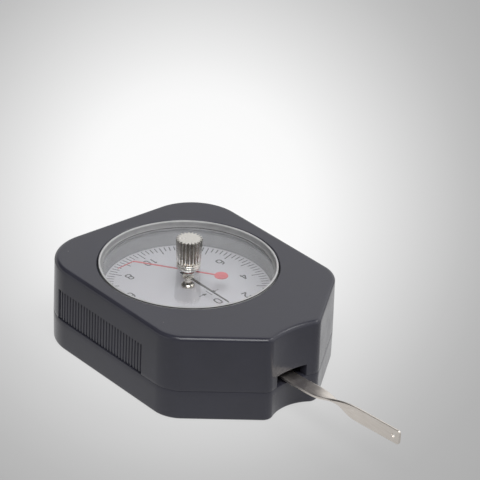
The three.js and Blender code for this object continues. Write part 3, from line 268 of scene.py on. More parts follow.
def back_cover_parts():
    """The cover as (points, quads) pairs: the wall and lip as rings, and the floor in four quarters."""
    split, lip_top = seam - cover_low[2], cover_high[2]
    joint = split - SEAM_GAP
    back_spread = DRAFT_SPREAD * (1 - split / (case_top - split))
    rows = [(back_spread - BACK_EDGE_RADIUS * (1 - sine), BACK_EDGE_RADIUS * (1 - cosine))
            for sine, cosine in zip(*arc_shares(8))]
    rows += [(back_spread + (DRAFT_SPREAD - back_spread) * share, share * joint)
             for share in (0.2, 0.4, 0.6, 0.8)]
    rows += [(DRAFT_SPREAD, joint - SEAM_BREAK), (DRAFT_SPREAD - 0.3 * SEAM_BREAK, joint - 0.3 * SEAM_BREAK),
             (DRAFT_SPREAD - SEAM_BREAK, joint)]
    wall = [case_ring(spread, height) for spread, height in rows]
    face = -SHELL_WALL - LIP_GAP
    lip = [case_ring(spread, height, True) for spread, height in (
        (face, joint), (face, lip_top - EDGE_BREAK), (face - EDGE_BREAK, lip_top),
        (face - LIP_THICKNESS + EDGE_BREAK, lip_top), (face - LIP_THICKNESS, lip_top - EDGE_BREAK))]
    for ring in lip:
        ring[(ring[:, 0] > case_nose / 2) & (np.abs(ring[:, 1]) < LIP_GATE_HALF_WIDTH), 2] = joint
    floor = case_ring(face - LIP_THICKNESS, FLOOR_THICKNESS, True)
    rings = np.stack(wall + lip + [floor])
    parts = [(rings, grid_quads(*rings.shape[:2]))]
    profile = [(SCREW_HEAD_HOLE + EDGE_BREAK, 0), (SCREW_HEAD_HOLE, EDGE_BREAK), (SCREW_HEAD_HOLE, SCREW_SEAT),
               (SCREW_SHANK_HOLE, SCREW_SEAT), (SCREW_SHANK_HOLE, joint), (POST_RADIUS - EDGE_BREAK, joint),
               (POST_RADIUS, joint - EDGE_BREAK), (POST_RADIUS, FLOOR_THICKNESS)]
    parts += [drilled_quarter(wall[0], floor, profile, number, centre)
              for number, centre in enumerate(screw_places)]
    boss = section(0, PILLAR_BOSS_RADIUS, FLOOR_THICKNESS / 2, node_box("lower_plate")[0, 2])
    parts += [turned(boss, 48, node_box(f"pillar_{number}")[:, :2].mean(0)) for number in range(1, 5)]
    return parts


def node(tree, kind, links=(), **settings):
    """A shader node in the tree, with its settings, and with inputs set to values or joined to sockets."""
    made = tree.nodes.new("ShaderNode" + kind)
    for key, value in settings.items():
        setattr(made, key, value)
    for key, value in dict(links).items():
        if isinstance(value, bpy.types.NodeSocket):
            tree.links.new(value, made.inputs[key])
        else:
            made.inputs[key].default_value = value
    return made


def maths(tree, operation, *values):
    """The result of a maths node for values or sockets."""
    return node(tree, "Math", dict(enumerate(values)), operation=operation).outputs[0]


def noise(tree, vector, scale, detail, roughness=0.5):
    """A noise that runs over a vector socket."""
    return node(tree, "TexNoise", {"Vector": vector, "Scale": scale, "Detail": detail,
                                   "Roughness": roughness}).outputs[0]


def span(tree, value, low, high, start=0.3, stop=0.7, **settings):
    """A value socket stretched so that it runs from low to high as it goes from start to stop."""
    return node(tree, "MapRange", {"Value": value, "From Min": start, "From Max": stop, "To Min": low,
                                   "To Max": high}, **settings).outputs[0]


def blend(tree, factor, low, high):
    """A mix of two colours, each a value or a socket: low where the factor is 0 and high where it is 1."""
    mix = node(tree, "Mix", {"Factor": factor}, data_type="RGBA")
    for socket, value in ((mix.inputs[6], low), (mix.inputs[7], high)):
        if isinstance(value, bpy.types.NodeSocket):
            tree.links.new(value, socket)
        else:
            socket.default_value = (*value, 1)
    return mix.outputs[2]


def effect_group(name, values, results):
    """A shader node group with a Vector input, float inputs with their values, and float outputs. Returns
    its tree, the sockets that it is given and the sockets of its results."""
    tree = bpy.data.node_groups.new(name, "ShaderNodeTree")
    tree.interface.new_socket("Vector", in_out="INPUT", socket_type="NodeSocketVector")
    for label, value in values.items():
        tree.interface.new_socket(label, in_out="INPUT", socket_type="NodeSocketFloat").default_value = value
    for label in results:
        tree.interface.new_socket(label, in_out="OUTPUT", socket_type="NodeSocketFloat")
    return tree, tree.nodes.new("NodeGroupInput").outputs, tree.nodes.new("NodeGroupOutput").inputs


def grain_group():
    """Spark-eroded mould grain: fine rounded pits, a slow mottle of the gloss, and sparse pale dust."""
    tree, given, result = effect_group("moulded_grain", {"Pits": PITS_PER_METRE, "Dust": DUST_SHARE},
                                       ("Height", "Mottle", "Dust"))
    vector = given["Vector"]
    specks = node(tree, "TexVoronoi", {"Vector": vector, "Scale": 260, "Randomness": 1}).outputs["Distance"]
    few = span(tree, noise(tree, vector, 700, 1), 0, 1, 0.58, 0.7)
    some = maths(tree, "MULTIPLY", span(tree, specks, 1, 0, 0.02, 0.06), few)
    tree.links.new(noise(tree, vector, given["Pits"], 2, 0.55), result["Height"])
    tree.links.new(noise(tree, vector, 90, 3), result["Mottle"])
    tree.links.new(maths(tree, "MULTIPLY", some, given["Dust"]), result["Dust"])
    return tree


def new_material(name, **sockets):
    """A material with a Principled BSDF: returns it, its tree, the shader and the Object coordinates."""
    material = bpy.data.materials.new(name)
    material.use_nodes = True
    tree = material.node_tree
    shader = tree.nodes["Principled BSDF"]
    for key, value in sockets.items():
        shader.inputs[key.replace("_", " ")].default_value = value
    return material, tree, shader, node(tree, "TexCoord").outputs["Object"]


def dress(tree, shader, colour, gloss, relief=None, strength=0, depth=0.00003):
    """Joins a colour and a roughness to the shader, and a height as relief of that strength and depth."""
    tree.links.new(colour, shader.inputs["Base Color"])
    tree.links.new(gloss, shader.inputs["Roughness"])
    if relief is not None:
        bump = node(tree, "Bump", {"Height": relief, "Strength": strength, "Distance": depth})
        tree.links.new(bump.outputs[0], shader.inputs["Normal"])


def charcoal_plastic():
    """Moulded plastic: a tone and a gloss that drift slowly, fine pits in its normal, and a little dust."""
    material, tree, shader, place = new_material("charcoal_abs", Specular_IOR_Level=0.5)
    grain = node(tree, "Group", {"Vector": place, "Pits": PITS_PER_METRE, "Dust": DUST_SHARE},
                 node_tree=grain_group()).outputs
    tone = blend(tree, span(tree, grain["Mottle"], 0, 1), *CHARCOAL_TONES)
    dress(tree, shader, blend(tree, grain["Dust"], tone, DUST_TONE),
          span(tree, grain["Mottle"], *CHARCOAL_ROUGHNESS), grain["Height"], GRAIN_STRENGTH, GRAIN_DEPTH)
    return material


case_plastic = charcoal_plastic()
back_cover = new_piece("back_cover_moulding", back_cover_parts(), [case_plastic])
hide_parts("back_cover")
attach(back_cover, "case")

# Case screws
# Four slotted pan-head screws in zinc-plated steel, sunk in the back so that the case lies flat. They
# pull the two halves of the case together through its corner posts.
SCREW_RIM_ROUND = 0.45
SCREW_SLOT_SHARE = 0.42
SCREW_SLOT_DEPTH = 0.75
SCREW_SHANK_RADIUS = 1.1
SCREW_POINT_RADIUS = 0.7
SCREW_POINT_LENGTH = 0.4
SCREW_CHORDS = 33
SCREW_CHORD_POINTS = 25
MARK_FINENESS = 9000


def slotted_screw(centre, radius, face, seat, end):
    """A pan-head screw whose head faces down: chords across the head carry its slot, and the head's rim,
    seat and shank are rings that hang on the chords' ends.

    The chords lie at the radius times the sines of even angles, and the points of each chord lie at its
    half length times such sines. The face is level, but for a quarter round at its rim, and drops to the
    slot's floor between two chords.
    """
    half = radius * SCREW_SLOT_SHARE / 2
    chords = radius * np.sin(np.linspace(-math.pi / 2, math.pi / 2, SCREW_CHORDS))
    chords = np.sort(np.concatenate([chords[np.abs(chords) > half + 0.02], [-half - 1e-4, half + 1e-4],
                                     np.linspace(-half, half, 5)]))
    shares = np.sin(np.linspace(-math.pi / 2, math.pi / 2, SCREW_CHORD_POINTS))
    x = np.sqrt(np.maximum(radius ** 2 - chords ** 2, 0))[:, None] * shares
    y = np.broadcast_to(chords[:, None], x.shape)
    near = np.clip(radius - np.hypot(x, y), 0, SCREW_RIM_ROUND)
    rise = SCREW_RIM_ROUND - np.sqrt(np.maximum(SCREW_RIM_ROUND ** 2 - (SCREW_RIM_ROUND - near) ** 2, 0))
    sunk = np.where(np.abs(y) <= half, SCREW_SLOT_DEPTH, 0)
    head = np.stack([x + centre[0], y + centre[1], face + np.maximum(rise, sunk)], -1)
    rim = np.concatenate([head[:, -1], head[-2:0:-1, 0]])
    shank = [(radius, seat), (SCREW_SHANK_RADIUS, seat), (SCREW_SHANK_RADIUS, end - SCREW_POINT_LENGTH),
             (SCREW_POINT_RADIUS, end), (0, end)]
    rings = np.stack([rim] + rings_like(rim, centre, shank))
    return [(head, grid_quads(*x.shape, close_columns=False)), (rings, grid_quads(*rings.shape[:2]))]


def flat_length(tree, x, y):
    """The length of the flat vector of two value sockets."""
    flat = node(tree, "CombineXYZ", {0: x, 1: y}).outputs[0]
    return node(tree, "VectorMath", {0: flat}, operation="LENGTH").outputs["Value"]


def turning_group():
    """Lathe marks: fine rings that follow the radius and the height of a turned piece."""
    tree, given, result = effect_group("turning_marks", {"Fineness": MARK_FINENESS}, ("Height", "Tone"))
    x, y, z = node(tree, "SeparateXYZ", {0: given["Vector"]}).outputs
    along = node(tree, "CombineXYZ", {0: flat_length(tree, x, y), 1: z}).outputs[0]
    tree.links.new(noise(tree, along, given["Fineness"], 2), result["Height"])
    tree.links.new(noise(tree, given["Vector"], 500, 4), result["Tone"])
    return tree


turning_marks = turning_group()


def turned_metal(name, dark, light, roughness, centre=(0, 0), relief=0.15):
    """Turned and plated metal about an upright axis at centre, in millimetres."""
    material, tree, shader, place = new_material(name, Metallic=1)
    mapping = node(tree, "Mapping", {"Vector": place, "Location": (-centre[0] * MM, -centre[1] * MM, 0)})
    marks = node(tree, "Group", {"Vector": mapping.outputs[0], "Fineness": MARK_FINENESS},
                 node_tree=turning_marks).outputs
    dress(tree, shader, blend(tree, span(tree, marks["Tone"], 0, 1), dark, light),
          span(tree, marks["Tone"], roughness - 0.05, roughness + 0.08), marks["Height"], relief)
    return material


for number, centre in enumerate(screw_places, 1):
    low, high = node_box(f"case_screw_{number}")
    zinc = turned_metal(f"zinc_plate_{number}", (0.42, 0.43, 0.44), (0.56, 0.56, 0.55), 0.3, centre)
    screw = new_piece(f"case_screw_{number}_slotted",
                      slotted_screw(centre, high[0] - centre[0], low[2], SCREW_SEAT, high[2]), [zinc])
    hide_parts(f"case_screw_{number}")
    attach(screw, "case")

# Movement
# Brass plates on brass pillars carry the lever's shaft and the pointer's arbor in bushes. The dial hides
# them, and the slot in the nose shows only their shadow, so they keep the frame's shapes. The plates, the
# lever's hub and its bushes are near black: painted shade for the dark inside of the slot.
BRASS_PIECES = """sector_gear dial_foot_1 dial_foot_2 dial_foot_3 pillar_1 pillar_2 pillar_3 pillar_4
    arbor_bush_lower arbor_bush_upper hairspring_collet hairspring_stud stem_bush"""
# Near black pieces: painted shade for the slot's dark inside.
SLOT_SHADE_PIECES = "lever_hub lower_plate upper_plate lever_bush_lower lever_bush_upper"
STEEL_PIECES = """pillar_screw_1 pillar_screw_2 pillar_screw_3 pillar_screw_4 stop_pin_1 stop_pin_2
    lever_shaft stylus_screw_1 stylus_screw_2 spring_stud pinion"""
SPRING_PIECES = "range_spring hairspring"


def brushing_group():
    """Brushing: fine lines along X that come and go, and a slow change of tone."""
    tree, given, result = effect_group("brushed_lines", {"Fineness": MARK_FINENESS}, ("Height", "Tone"))
    squeezed = node(tree, "Mapping", {"Vector": given["Vector"], "Scale": (0.02, 1, 1)}).outputs[0]
    tree.links.new(noise(tree, squeezed, given["Fineness"], 3), result["Height"])
    tree.links.new(noise(tree, given["Vector"], 300, 3), result["Tone"])
    return tree


brushed_lines = brushing_group()


def brushed_metal(name, dark, light, roughness, relief=0.2):
    """Sheet metal with brushing along X."""
    material, tree, shader, place = new_material(name, Metallic=1)
    marks = node(tree, "Group", {"Vector": place, "Fineness": MARK_FINENESS}, node_tree=brushed_lines).outputs
    dress(tree, shader, blend(tree, span(tree, marks["Height"], 0, 1), dark, light),
          span(tree, marks["Tone"], roughness - 0.06, roughness + 0.06), marks["Height"], relief)
    return material


for names, *finish in (
        (BRASS_PIECES, "movement_brass", (0.55, 0.36, 0.13), (0.70, 0.48, 0.20), 0.32),
        # Painted shade: near black brass.
        (SLOT_SHADE_PIECES, "brass_painted_slot_shade", (0.020, 0.018, 0.016), (0.035, 0.031, 0.027), 0.45),
        (STEEL_PIECES, "movement_steel", (0.45, 0.45, 0.44), (0.58, 0.57, 0.55), 0.30),
        (SPRING_PIECES, "blued_steel", (0.05, 0.07, 0.13), (0.09, 0.12, 0.20), 0.28)):
    material = brushed_metal(*finish)
    for name in names.split():
        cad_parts[name].material_slots[0].material = material

# Top shell
# The upper half of the case, in the same plastic: soft top edge, crisp nose, a recessed panel of upright
# grooves on each long side, the window with its well, and the slot that the stylus leaves through. The
# well's wall carries painted glare: a mid grey that stands in for the lens's glare over black plastic.
NOSE_START = 30.6
SLOT_TOP = 12.2
WALL_ROWS = (14.5, 16.2)
UPPER_WALL_ROW = 20
PANEL_EDGE_SHARES = (-1.6, -1.3, -1, -0.75, -0.5, -0.25, 0, 0.5)
TOP_EDGE_RADIUS = 1.2
TOP_THICKNESS = 2.4
GRIP_HEIGHT = 9.2
GRIP_RECESS = 0.3
GRIP_GROOVE_DEPTH = 0.19
GROOVE_HALF_SHARE = 0.25
GROOVE_WALL_SHARE = 0.03
WINDOW_CHAMFER = 0.35
WINDOW_RADIUS = 25.1
WELL_RADIUS = 23.3
WELL_RIM = 3
WELL_GAP = 0.12
POST_HOLE_DEPTH = 9
POST_TOP_INSET = 1.5
seal_bottom = node_box("lens_seal")[0, 2]
dial_top = node_box("dial_plate")[1, 2]


def ramp(value):
    """Runs from 0 to 1 as value does, level before and after, with soft ends."""
    share = np.clip(value, 0, 1)
    return share * share * (3 - 2 * share)


def grip_depth(x, z):
    """How far a long side is sunk at (x, z): a shallow panel with upright grooves that end near its edge.

    Every edge of the panel and of a groove is a short ramp. A groove reaches a quarter of the pitch each
    way from its middle, to the middle of the ramps that are its walls.
    """
    below_top = (seam + GRIP_HEIGHT - z) / EDGE_BREAK
    inside = ramp((GRIP_FRONT - x) / EDGE_BREAK) * ramp((x + GRIP_BACK) / EDGE_BREAK)
    off_middle = np.abs((GRIP_FRONT - x) / GRIP_PITCH % 1 - 0.5)
    groove = ramp((GROOVE_HALF_SHARE + GROOVE_WALL_SHARE - off_middle) / (2 * GROOVE_WALL_SHARE))
    return inside * (GRIP_RECESS * ramp(below_top) + GRIP_GROOVE_DEPTH * groove * ramp(below_top - 0.6))


def carved(ring):
    """A ring of the outer wall with the grips sunk in and the slot's edge rounded."""
    x, y, z = ring.T
    flank = (np.abs(y) > case_half_width - 2 * EDGE_BREAK) & (x < GRIP_FRONT + 1) & (x > -GRIP_BACK - 1)
    depth = np.where(flank, grip_depth(x, z), 0)
    from_slot = np.hypot(np.maximum(np.abs(y) - SLOT_HALF_WIDTH, 0), np.maximum(z - SLOT_TOP, 0))
    short = EDGE_BREAK - np.clip(from_slot, 0, EDGE_BREAK)
    drop = EDGE_BREAK - np.sqrt(EDGE_BREAK ** 2 - short ** 2)
    front = (x > NOSE_START) & (np.abs(y) < NOSE_CORNER_PLACE)
    return np.stack([x - np.where(front, drop, 0), y - np.sign(y) * depth, z], 1)


def top_shell_parts():
    """The shell as rings that go up the wall, over the top, down the window's well, out under it and down
    inside, with the slot's cells left out of both walls and the gap between them closed. The second
    result is 1 for each face of the well's wall, which carries the painted glare, and 0 elsewhere."""
    grip_top = seam + GRIP_HEIGHT
    below_fillet = case_top - TOP_EDGE_RADIUS
    slot_heights = [seam + SEAM_BREAK * 0.3, seam + SEAM_BREAK, *np.linspace(seam + 1, SLOT_TOP, 4)]
    slot_rows = len(slot_heights)
    heights = np.concatenate([slot_heights, SLOT_TOP + EDGE_BREAK * np.array(SLOT_EDGE_SHARES[:3]), WALL_ROWS,
                              [grip_top - 0.4], grip_top + EDGE_BREAK * np.array(PANEL_EDGE_SHARES),
                              [UPPER_WALL_ROW, below_fillet - 1]])
    spreads = DRAFT_SPREAD * (below_fillet - heights) / (below_fillet - seam)
    spreads[0] -= SEAM_BREAK * 0.3
    outer = [case_ring(DRAFT_SPREAD - SEAM_BREAK, seam)]
    outer += [case_ring(spread, height) for spread, height in zip(spreads, heights)]
    fillet = [case_ring(-TOP_EDGE_RADIUS * (1 - cosine), case_top - TOP_EDGE_RADIUS * (1 - sine))
              for sine, cosine in zip(*arc_shares(10))]
    edge = fillet[-1]
    rim = rings_like(edge, (0, 0), [(WINDOW_RADIUS + WINDOW_CHAMFER, case_top)])[0]
    top = [edge + (rim - edge) * share for share in (0.05, 0.5, 0.95, 1)]
    window = rings_like(edge, (0, 0), [
        (WINDOW_RADIUS + 0.2 * WINDOW_CHAMFER, case_top - 0.6 * WINDOW_CHAMFER),
        (WINDOW_RADIUS, case_top - WINDOW_CHAMFER), (WINDOW_RADIUS, seal_bottom), (WELL_RADIUS, seal_bottom),
        (WELL_RADIUS, dial_top + WELL_GAP), (WELL_RADIUS + WELL_RIM, dial_top + WELL_GAP),
        (WELL_RADIUS + WELL_RIM, case_top - TOP_THICKNESS)])
    inside = [case_ring(-SHELL_WALL, height, True)
              for height in (case_top - TOP_THICKNESS, *heights[::-1], seam)]
    rings = np.stack([carved(ring) for ring in outer] + fillet + top + window + inside)
    count, width = rings.shape[:2]
    quads = grid_quads(count, width, close_rows=True)
    in_slot = (np.abs(rings[0, :, 1]) <= SLOT_HALF_WIDTH + 1e-6) & (rings[0, :, 0] > NOSE_START)
    columns = in_slot & np.roll(in_slot, -1)
    rows = np.zeros(count, bool)
    rows[:slot_rows] = rows[count - 1 - slot_rows:] = True
    kept = quads[~(rows[:, None] & columns[None, :])]
    row = np.arange(slot_rows)
    facing = np.array([row, row + 1, count - 2 - row, count - 1 - row]).T * width
    slot_ends = in_slot & ~(np.roll(in_slot, 1) & np.roll(in_slot, -1))
    cheeks = [facing + side for side in np.flatnonzero(slot_ends)]
    column = np.flatnonzero(columns)
    low, high = slot_rows * width, (count - 1 - slot_rows) * width
    after = (column + 1) % width
    lintel = np.stack([low + column, low + after, high + after, high + column], 1)
    quads = np.concatenate([kept] + cheeks + [lintel])
    # The well's wall rows carry the painted glare.
    well_rows = len(outer) + len(fillet) + len(top) + np.array([2, 3])
    painted = np.isin(quads.min(1) // width, well_rows) & (quads.max(1) // width <= well_rows[-1] + 1)
    hole_top, post_top = seam + POST_HOLE_DEPTH, case_top - POST_TOP_INSET
    post = [(SCREW_SHANK_HOLE, seam), (POST_RADIUS, seam), (POST_RADIUS, post_top), (0, post_top),
            (0, hole_top), (SCREW_SHANK_HOLE, hole_top), (SCREW_SHANK_HOLE, seam)]
    posts = [turned(post, 48, centre) for centre in screw_places]
    plain = np.zeros(sum(faces.size // 4 for points, faces in posts), bool)
    return [(rings, quads)] + posts, np.concatenate([painted, plain])


def paint_material(name, dark, light, roughness):
    """Sprayed paint, moulded rubber and flat tones of painted light: an even colour, with a fine orange
    peel in its gloss.
    """
    material, tree, shader, place = new_material(name)
    peel = noise(tree, place, 3500, 2)
    dress(tree, shader, blend(tree, span(tree, noise(tree, place, 300, 2), 0, 1), dark, light),
          span(tree, peel, roughness - 0.05, roughness + 0.05), peel, 0.12)
    return material


shell_parts, well_glare_faces = top_shell_parts()
# Painted glare: a mid grey on the well's wall, for the lens's glare over black plastic.
painted_well_glare = paint_material("painted_well_glare", (0.172, 0.174, 0.184), (0.204, 0.206, 0.217), 0.6)
top_shell = new_piece("top_shell_moulding", shell_parts, [case_plastic, painted_well_glare],
                      face_materials=well_glare_faces)
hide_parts("top_shell")
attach(top_shell, "case")

# Dial
# A thin aluminium disc with a satin silver face, printed in black: a scale of ten units each way round
# from zero, numbered at every second unit, and two arrows that show the two directions.
DIAL_HOLE_RADIUS = 1.4
DIAL_EDGE_RADIUS = 0.08
TICK_STEP = 3.6
TICKS_PER_UNIT = 5
TICK_WIDTH = 0.3
TICK_ENDS = (20.6, 22.8)
UNIT_TICK_ENDS = (19.0, 22.7)
FIGURE_TURN = math.radians(36)
DIGIT_RADIUS = 16.7
ZERO_PLACE = (11.4, 1.4)
DIGIT_HEIGHT = 3
DIGIT_WIDTH = 2
DIGIT_PITCH = 2.2
DIGIT_STROKE = 0.42
ARROW_LINE = 6.5
ARROW_TIPS_AND_TAILS = ((2.9, 5.6), (1.5, -1.2))
ARROW_STROKE = 0.26
ARROW_HEAD_LENGTH = 1.3
ARROW_HEAD_HALF_WIDTH = 0.6
ARROW_BAR = ((5.2, 2.2), (7.9, 2.2))
ARROW_BAR_STROKE = 0.24
INK_THICKNESS = 0.012
INK_ROOT = 0.05
dial_low, dial_high = node_box("dial_plate")


def rounded(corners, radius, steps=5):
    """A closed profile with each corner rounded by an arc, or by less where its sides are short."""
    corners = np.array(corners, float)
    share = np.linspace(0, 1, steps)[:, None]
    points = []
    for prior, here, following in zip(np.roll(corners, 1, 0), corners, np.roll(corners, -1, 0)):
        back, ahead = np.linalg.norm(prior - here), np.linalg.norm(following - here)
        reach = min(radius, min(back, ahead) * 0.49)
        start, end = here + (prior - here) * reach / back, here + (following - here) * reach / ahead
        points.append((1 - share) ** 2 * start + 2 * share * (1 - share) * here + share ** 2 * end)
    points = np.concatenate(points)
    return np.concatenate([points, points[:1]])


def held(profile, near=0.12):
    """A profile with a point added near each end of its long sides, which keeps their shading flat."""
    points = [profile[0]]
    for start, end in zip(profile[:-1], profile[1:]):
        length = np.linalg.norm(end - start)
        if length > 5 * near:
            points += [start + (end - start) * near / length, end - (end - start) * near / length]
        points.append(end)
    return np.array(points)


def satin_dial_material():
    """Satin silver paint: metal flakes too fine to see singly, with a faint cloud in its gloss."""
    material, tree, shader, place = new_material("satin_silver", Metallic=0.35)
    flakes = noise(tree, place, 14000, 1)
    dress(tree, shader, blend(tree, span(tree, flakes, 0, 1), (0.495, 0.49, 0.525), (0.565, 0.56, 0.598)),
          span(tree, noise(tree, place, 60, 3), 0.40, 0.48), flakes, 0.2, 0.00001)
    return material


dial_section = section(DIAL_HOLE_RADIUS, dial_high[0], dial_low[2], dial_high[2])
dial = new_piece("dial_disc", [turned(held(rounded(dial_section, DIAL_EDGE_RADIUS, 3)), 180)],
                 [satin_dial_material()])
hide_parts("dial_plate")
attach(dial, "case")


def inked(left, right):
    """A flat mark of ink between two lines of points with the same count, as a closed thin slab."""
    low, high = dial_high[2] - INK_ROOT, dial_high[2] + INK_THICKNESS
    loop = np.stack([at_height(side, height)
                     for side, height in ((left, low), (right, low), (right, high), (left, high))], 1)
    ends = np.array([[0, 1, 2, 3], len(left) * 4 - 1 - np.array([0, 1, 2, 3])])
    return loop, np.concatenate([grid_quads(len(left), 4).reshape(-1, 4), ends])


def ribbon(path, width):
    """A line of ink of that width along a path, square at its ends."""
    path = np.asarray(path, float)
    along = np.gradient(path, axis=0)
    along = along / np.linalg.norm(along, axis=1)[:, None]
    side = np.stack([-along[:, 1], along[:, 0]], 1) * width / 2
    return inked(path + side, path - side)


def scale_marks():
    """One short tick for every step of the scale and a longer one for every unit."""
    marks = []
    for step in range(round(360 / TICK_STEP)):
        start, end = TICK_ENDS if step % TICKS_PER_UNIT else UNIT_TICK_ENDS
        outward = direction(math.radians(step * TICK_STEP))
        marks.append(ribbon([outward * start, outward * end], TICK_WIDTH))
    return marks


def bowed(centre, size, start=0, end=360, steps=32, squareness=2.6):
    """A stretch of a superellipse between two angles in degrees: a circle drawn towards its square."""
    shape = direction(np.radians(np.linspace(start, end, steps)))
    shape = np.sign(shape) * np.abs(shape) ** (2 / squareness)
    return np.array(centre) + shape * np.array(size) / 2


# The strokes of each figure, in a box one wide and one high, centred on zero.
FIGURE_STROKES = {
    "0": [bowed((0, 0), (1, 1), steps=40)],
    "1": [[(-0.25, 0.3), (0.05, 0.5)], [(0.05, 0.5), (0.05, -0.5)]],
    "2": [[*bowed((0, 0.2), (0.96, 0.6), 165, -35, 20, 2.2), (-0.48, -0.47)], [(-0.48, -0.5), (0.5, -0.5)]],
    "4": [[(0.22, -0.5), (0.22, 0.5)], [(0.22, 0.5), (-0.5, -0.2)], [(-0.5, -0.2), (0.5, -0.2)]],
    "6": [bowed((0, -0.18), (1, 0.64), steps=36), bowed((0.02, -0.05), (1.04, 1.06), 70, 184, 18)],
    "8": [bowed((0, 0.25), (0.86, 0.5)), bowed((0, -0.24), (1, 0.52))],
}


def figures():
    """The even numbers up to ten and down again, each with its top towards +X: a stroke's u runs along -Y
    and its v along +X."""
    strokes = []
    for turn in range(10):
        letters = str(10 - abs(10 - 2 * turn))
        middle = DIGIT_RADIUS * direction(turn * FIGURE_TURN) if turn else ZERO_PLACE
        for place, letter in enumerate(letters):
            shift = (place - (len(letters) - 1) / 2) * DIGIT_PITCH
            for path in FIGURE_STROKES[letter]:
                u, v = (np.array(path) * [DIGIT_WIDTH - DIGIT_STROKE, DIGIT_HEIGHT - DIGIT_STROKE]).T
                strokes.append(ribbon(np.stack([middle[0] + v, middle[1] - u - shift], 1), DIGIT_STROKE))
    return strokes


def arrows():
    """Two small arrows that point away from each other's tails across a short bar, beside the zero line."""
    marks = [ribbon(ARROW_BAR, ARROW_BAR_STROKE)]
    for tip, tail in ARROW_TIPS_AND_TAILS:
        way = math.copysign(1, tip - tail)
        marks.append(ribbon([(ARROW_LINE, tail), (ARROW_LINE, tip - way * 0.5)], ARROW_STROKE))
        foot = tip - way * ARROW_HEAD_LENGTH
        head = [np.array([(ARROW_LINE + side * ARROW_HEAD_HALF_WIDTH, foot), (ARROW_LINE, point)])
                for side, point in ((-1, tip), (1, tip + way * 1e-3))]
        marks.append(inked(*head))
    return marks


def ink_material():
    """Pad-printed black ink, matt, with a faint change of density."""
    material, tree, shader, place = new_material("printing_ink", Specular_IOR_Level=0.3)
    cloud = noise(tree, place, 2500, 2)
    dress(tree, shader, blend(tree, span(tree, cloud, 0, 1), (0.030, 0.030, 0.033), (0.060, 0.060, 0.064)),
          span(tree, cloud, 0.5, 0.7))
    return material


printing_ink = ink_material()
for name, parts in (("dial_scale", scale_marks()), ("dial_figures", figures()), ("dial_arrows", arrows())):
    print_piece = new_piece(name, parts, [printing_ink])
    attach(print_piece, "case")

# Boss, arbor and hub
# A nickel boss surrounds the hole in the dial. The steel arbor comes up through it and carries the
# nickel hub of the black pointer.
BOSS_BEVEL = 0.55
HUB_BORE_RADIUS = 0.64
nickel = turned_metal("satin_nickel", (0.55, 0.52, 0.47), (0.68, 0.65, 0.59), 0.2)
bright_steel = turned_metal("bright_steel", (0.50, 0.50, 0.49), (0.62, 0.61, 0.59), 0.22)


def turned_piece(name, node_name, profile, body, material, steps=72, soft=0.12):
    """A ring or a rod turned from a closed profile with softened edges, in place of a node."""
    piece = new_piece(name, [turned(held(rounded(profile, soft)), steps)], [material])
    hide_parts(node_name)
    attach(piece, body)
    return piece


boss_low, boss_high = node_box("dial_boss")
turned_piece("dial_boss_ring", "dial_boss",
             [(DIAL_HOLE_RADIUS, boss_low[2]), (boss_high[0], boss_low[2]),
              (boss_high[0], boss_low[2] + BOSS_BEVEL), (boss_high[0] - BOSS_BEVEL, boss_high[2]),
              (DIAL_HOLE_RADIUS, boss_high[2])], "case", nickel, 72, 0.2)
hub_low, hub_high = node_box("pointer_hub")
turned_piece("pointer_hub_tube", "pointer_hub", section(HUB_BORE_RADIUS, hub_high[0], hub_low[2], hub_high[2]),
             "pointer", nickel, 48, 0.1)
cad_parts["pointer_arbor"].material_slots[0].material = bright_steel

# Black pointer
# A thin steel blade painted black, broad at its root and fine at its tip, with a short tail. It is
# riveted on a bright eye.
FIT_GAP = 0.04
POINTER_TAIL = 3
POINTER_TAIL_WIDTHS = (1.0, 1.1)
POINTER_WIDTHS = (0.9, 0.5, 0.36, 0.08)
POINTER_ROOT_GAP = 0.3
POINTER_WAIST_SHARE = 0.55
POINTER_POINT_LENGTH = 0.3
BLADE_CHAMFER_SHARE = 0.2
EYE_RADIUS = 1.6
EYE_PROUD = 0.01
EYE_EDGE_RADIUS = 0.06


def blade(path, widths, thickness, angle=0):
    """A flat strip along a path of (distance, height) points with a width at each, its edges chamfered,
    turned about the upright axis by angle. Its section is a rectangle with cut corners, level with X and Y."""
    cut, level = thickness * BLADE_CHAMFER_SHARE, thickness / 2
    path, half = np.array(path, float), np.array(widths, float)[:, None] / 2
    across = np.concatenate([-half, -half, -half + cut, half - cut, half, half, half - cut, -half + cut], 1)
    up = np.array([-level + cut, level - cut, level, level, level - cut, -level + cut, -level, -level])
    x, z = np.broadcast_to(path[:, :1], across.shape), path[:, 1:] + up
    points = np.stack([x * math.cos(angle) - across * math.sin(angle),
                       x * math.sin(angle) + across * math.cos(angle), z], -1)
    start = np.array([[0, 1, 2, 3], [0, 3, 4, 7], [7, 4, 5, 6]])
    quads = grid_quads(len(path), 8).reshape(-1, 4)
    return points, np.concatenate([quads, start, start + 8 * (len(path) - 1)])


def eye_ring(bore, low, high):
    """The thin eye of a pointer, a hair proud of its blade."""
    profile = section(bore, EYE_RADIUS, low - EYE_PROUD, high + EYE_PROUD)
    return turned(rounded(profile, EYE_EDGE_RADIUS), 64)


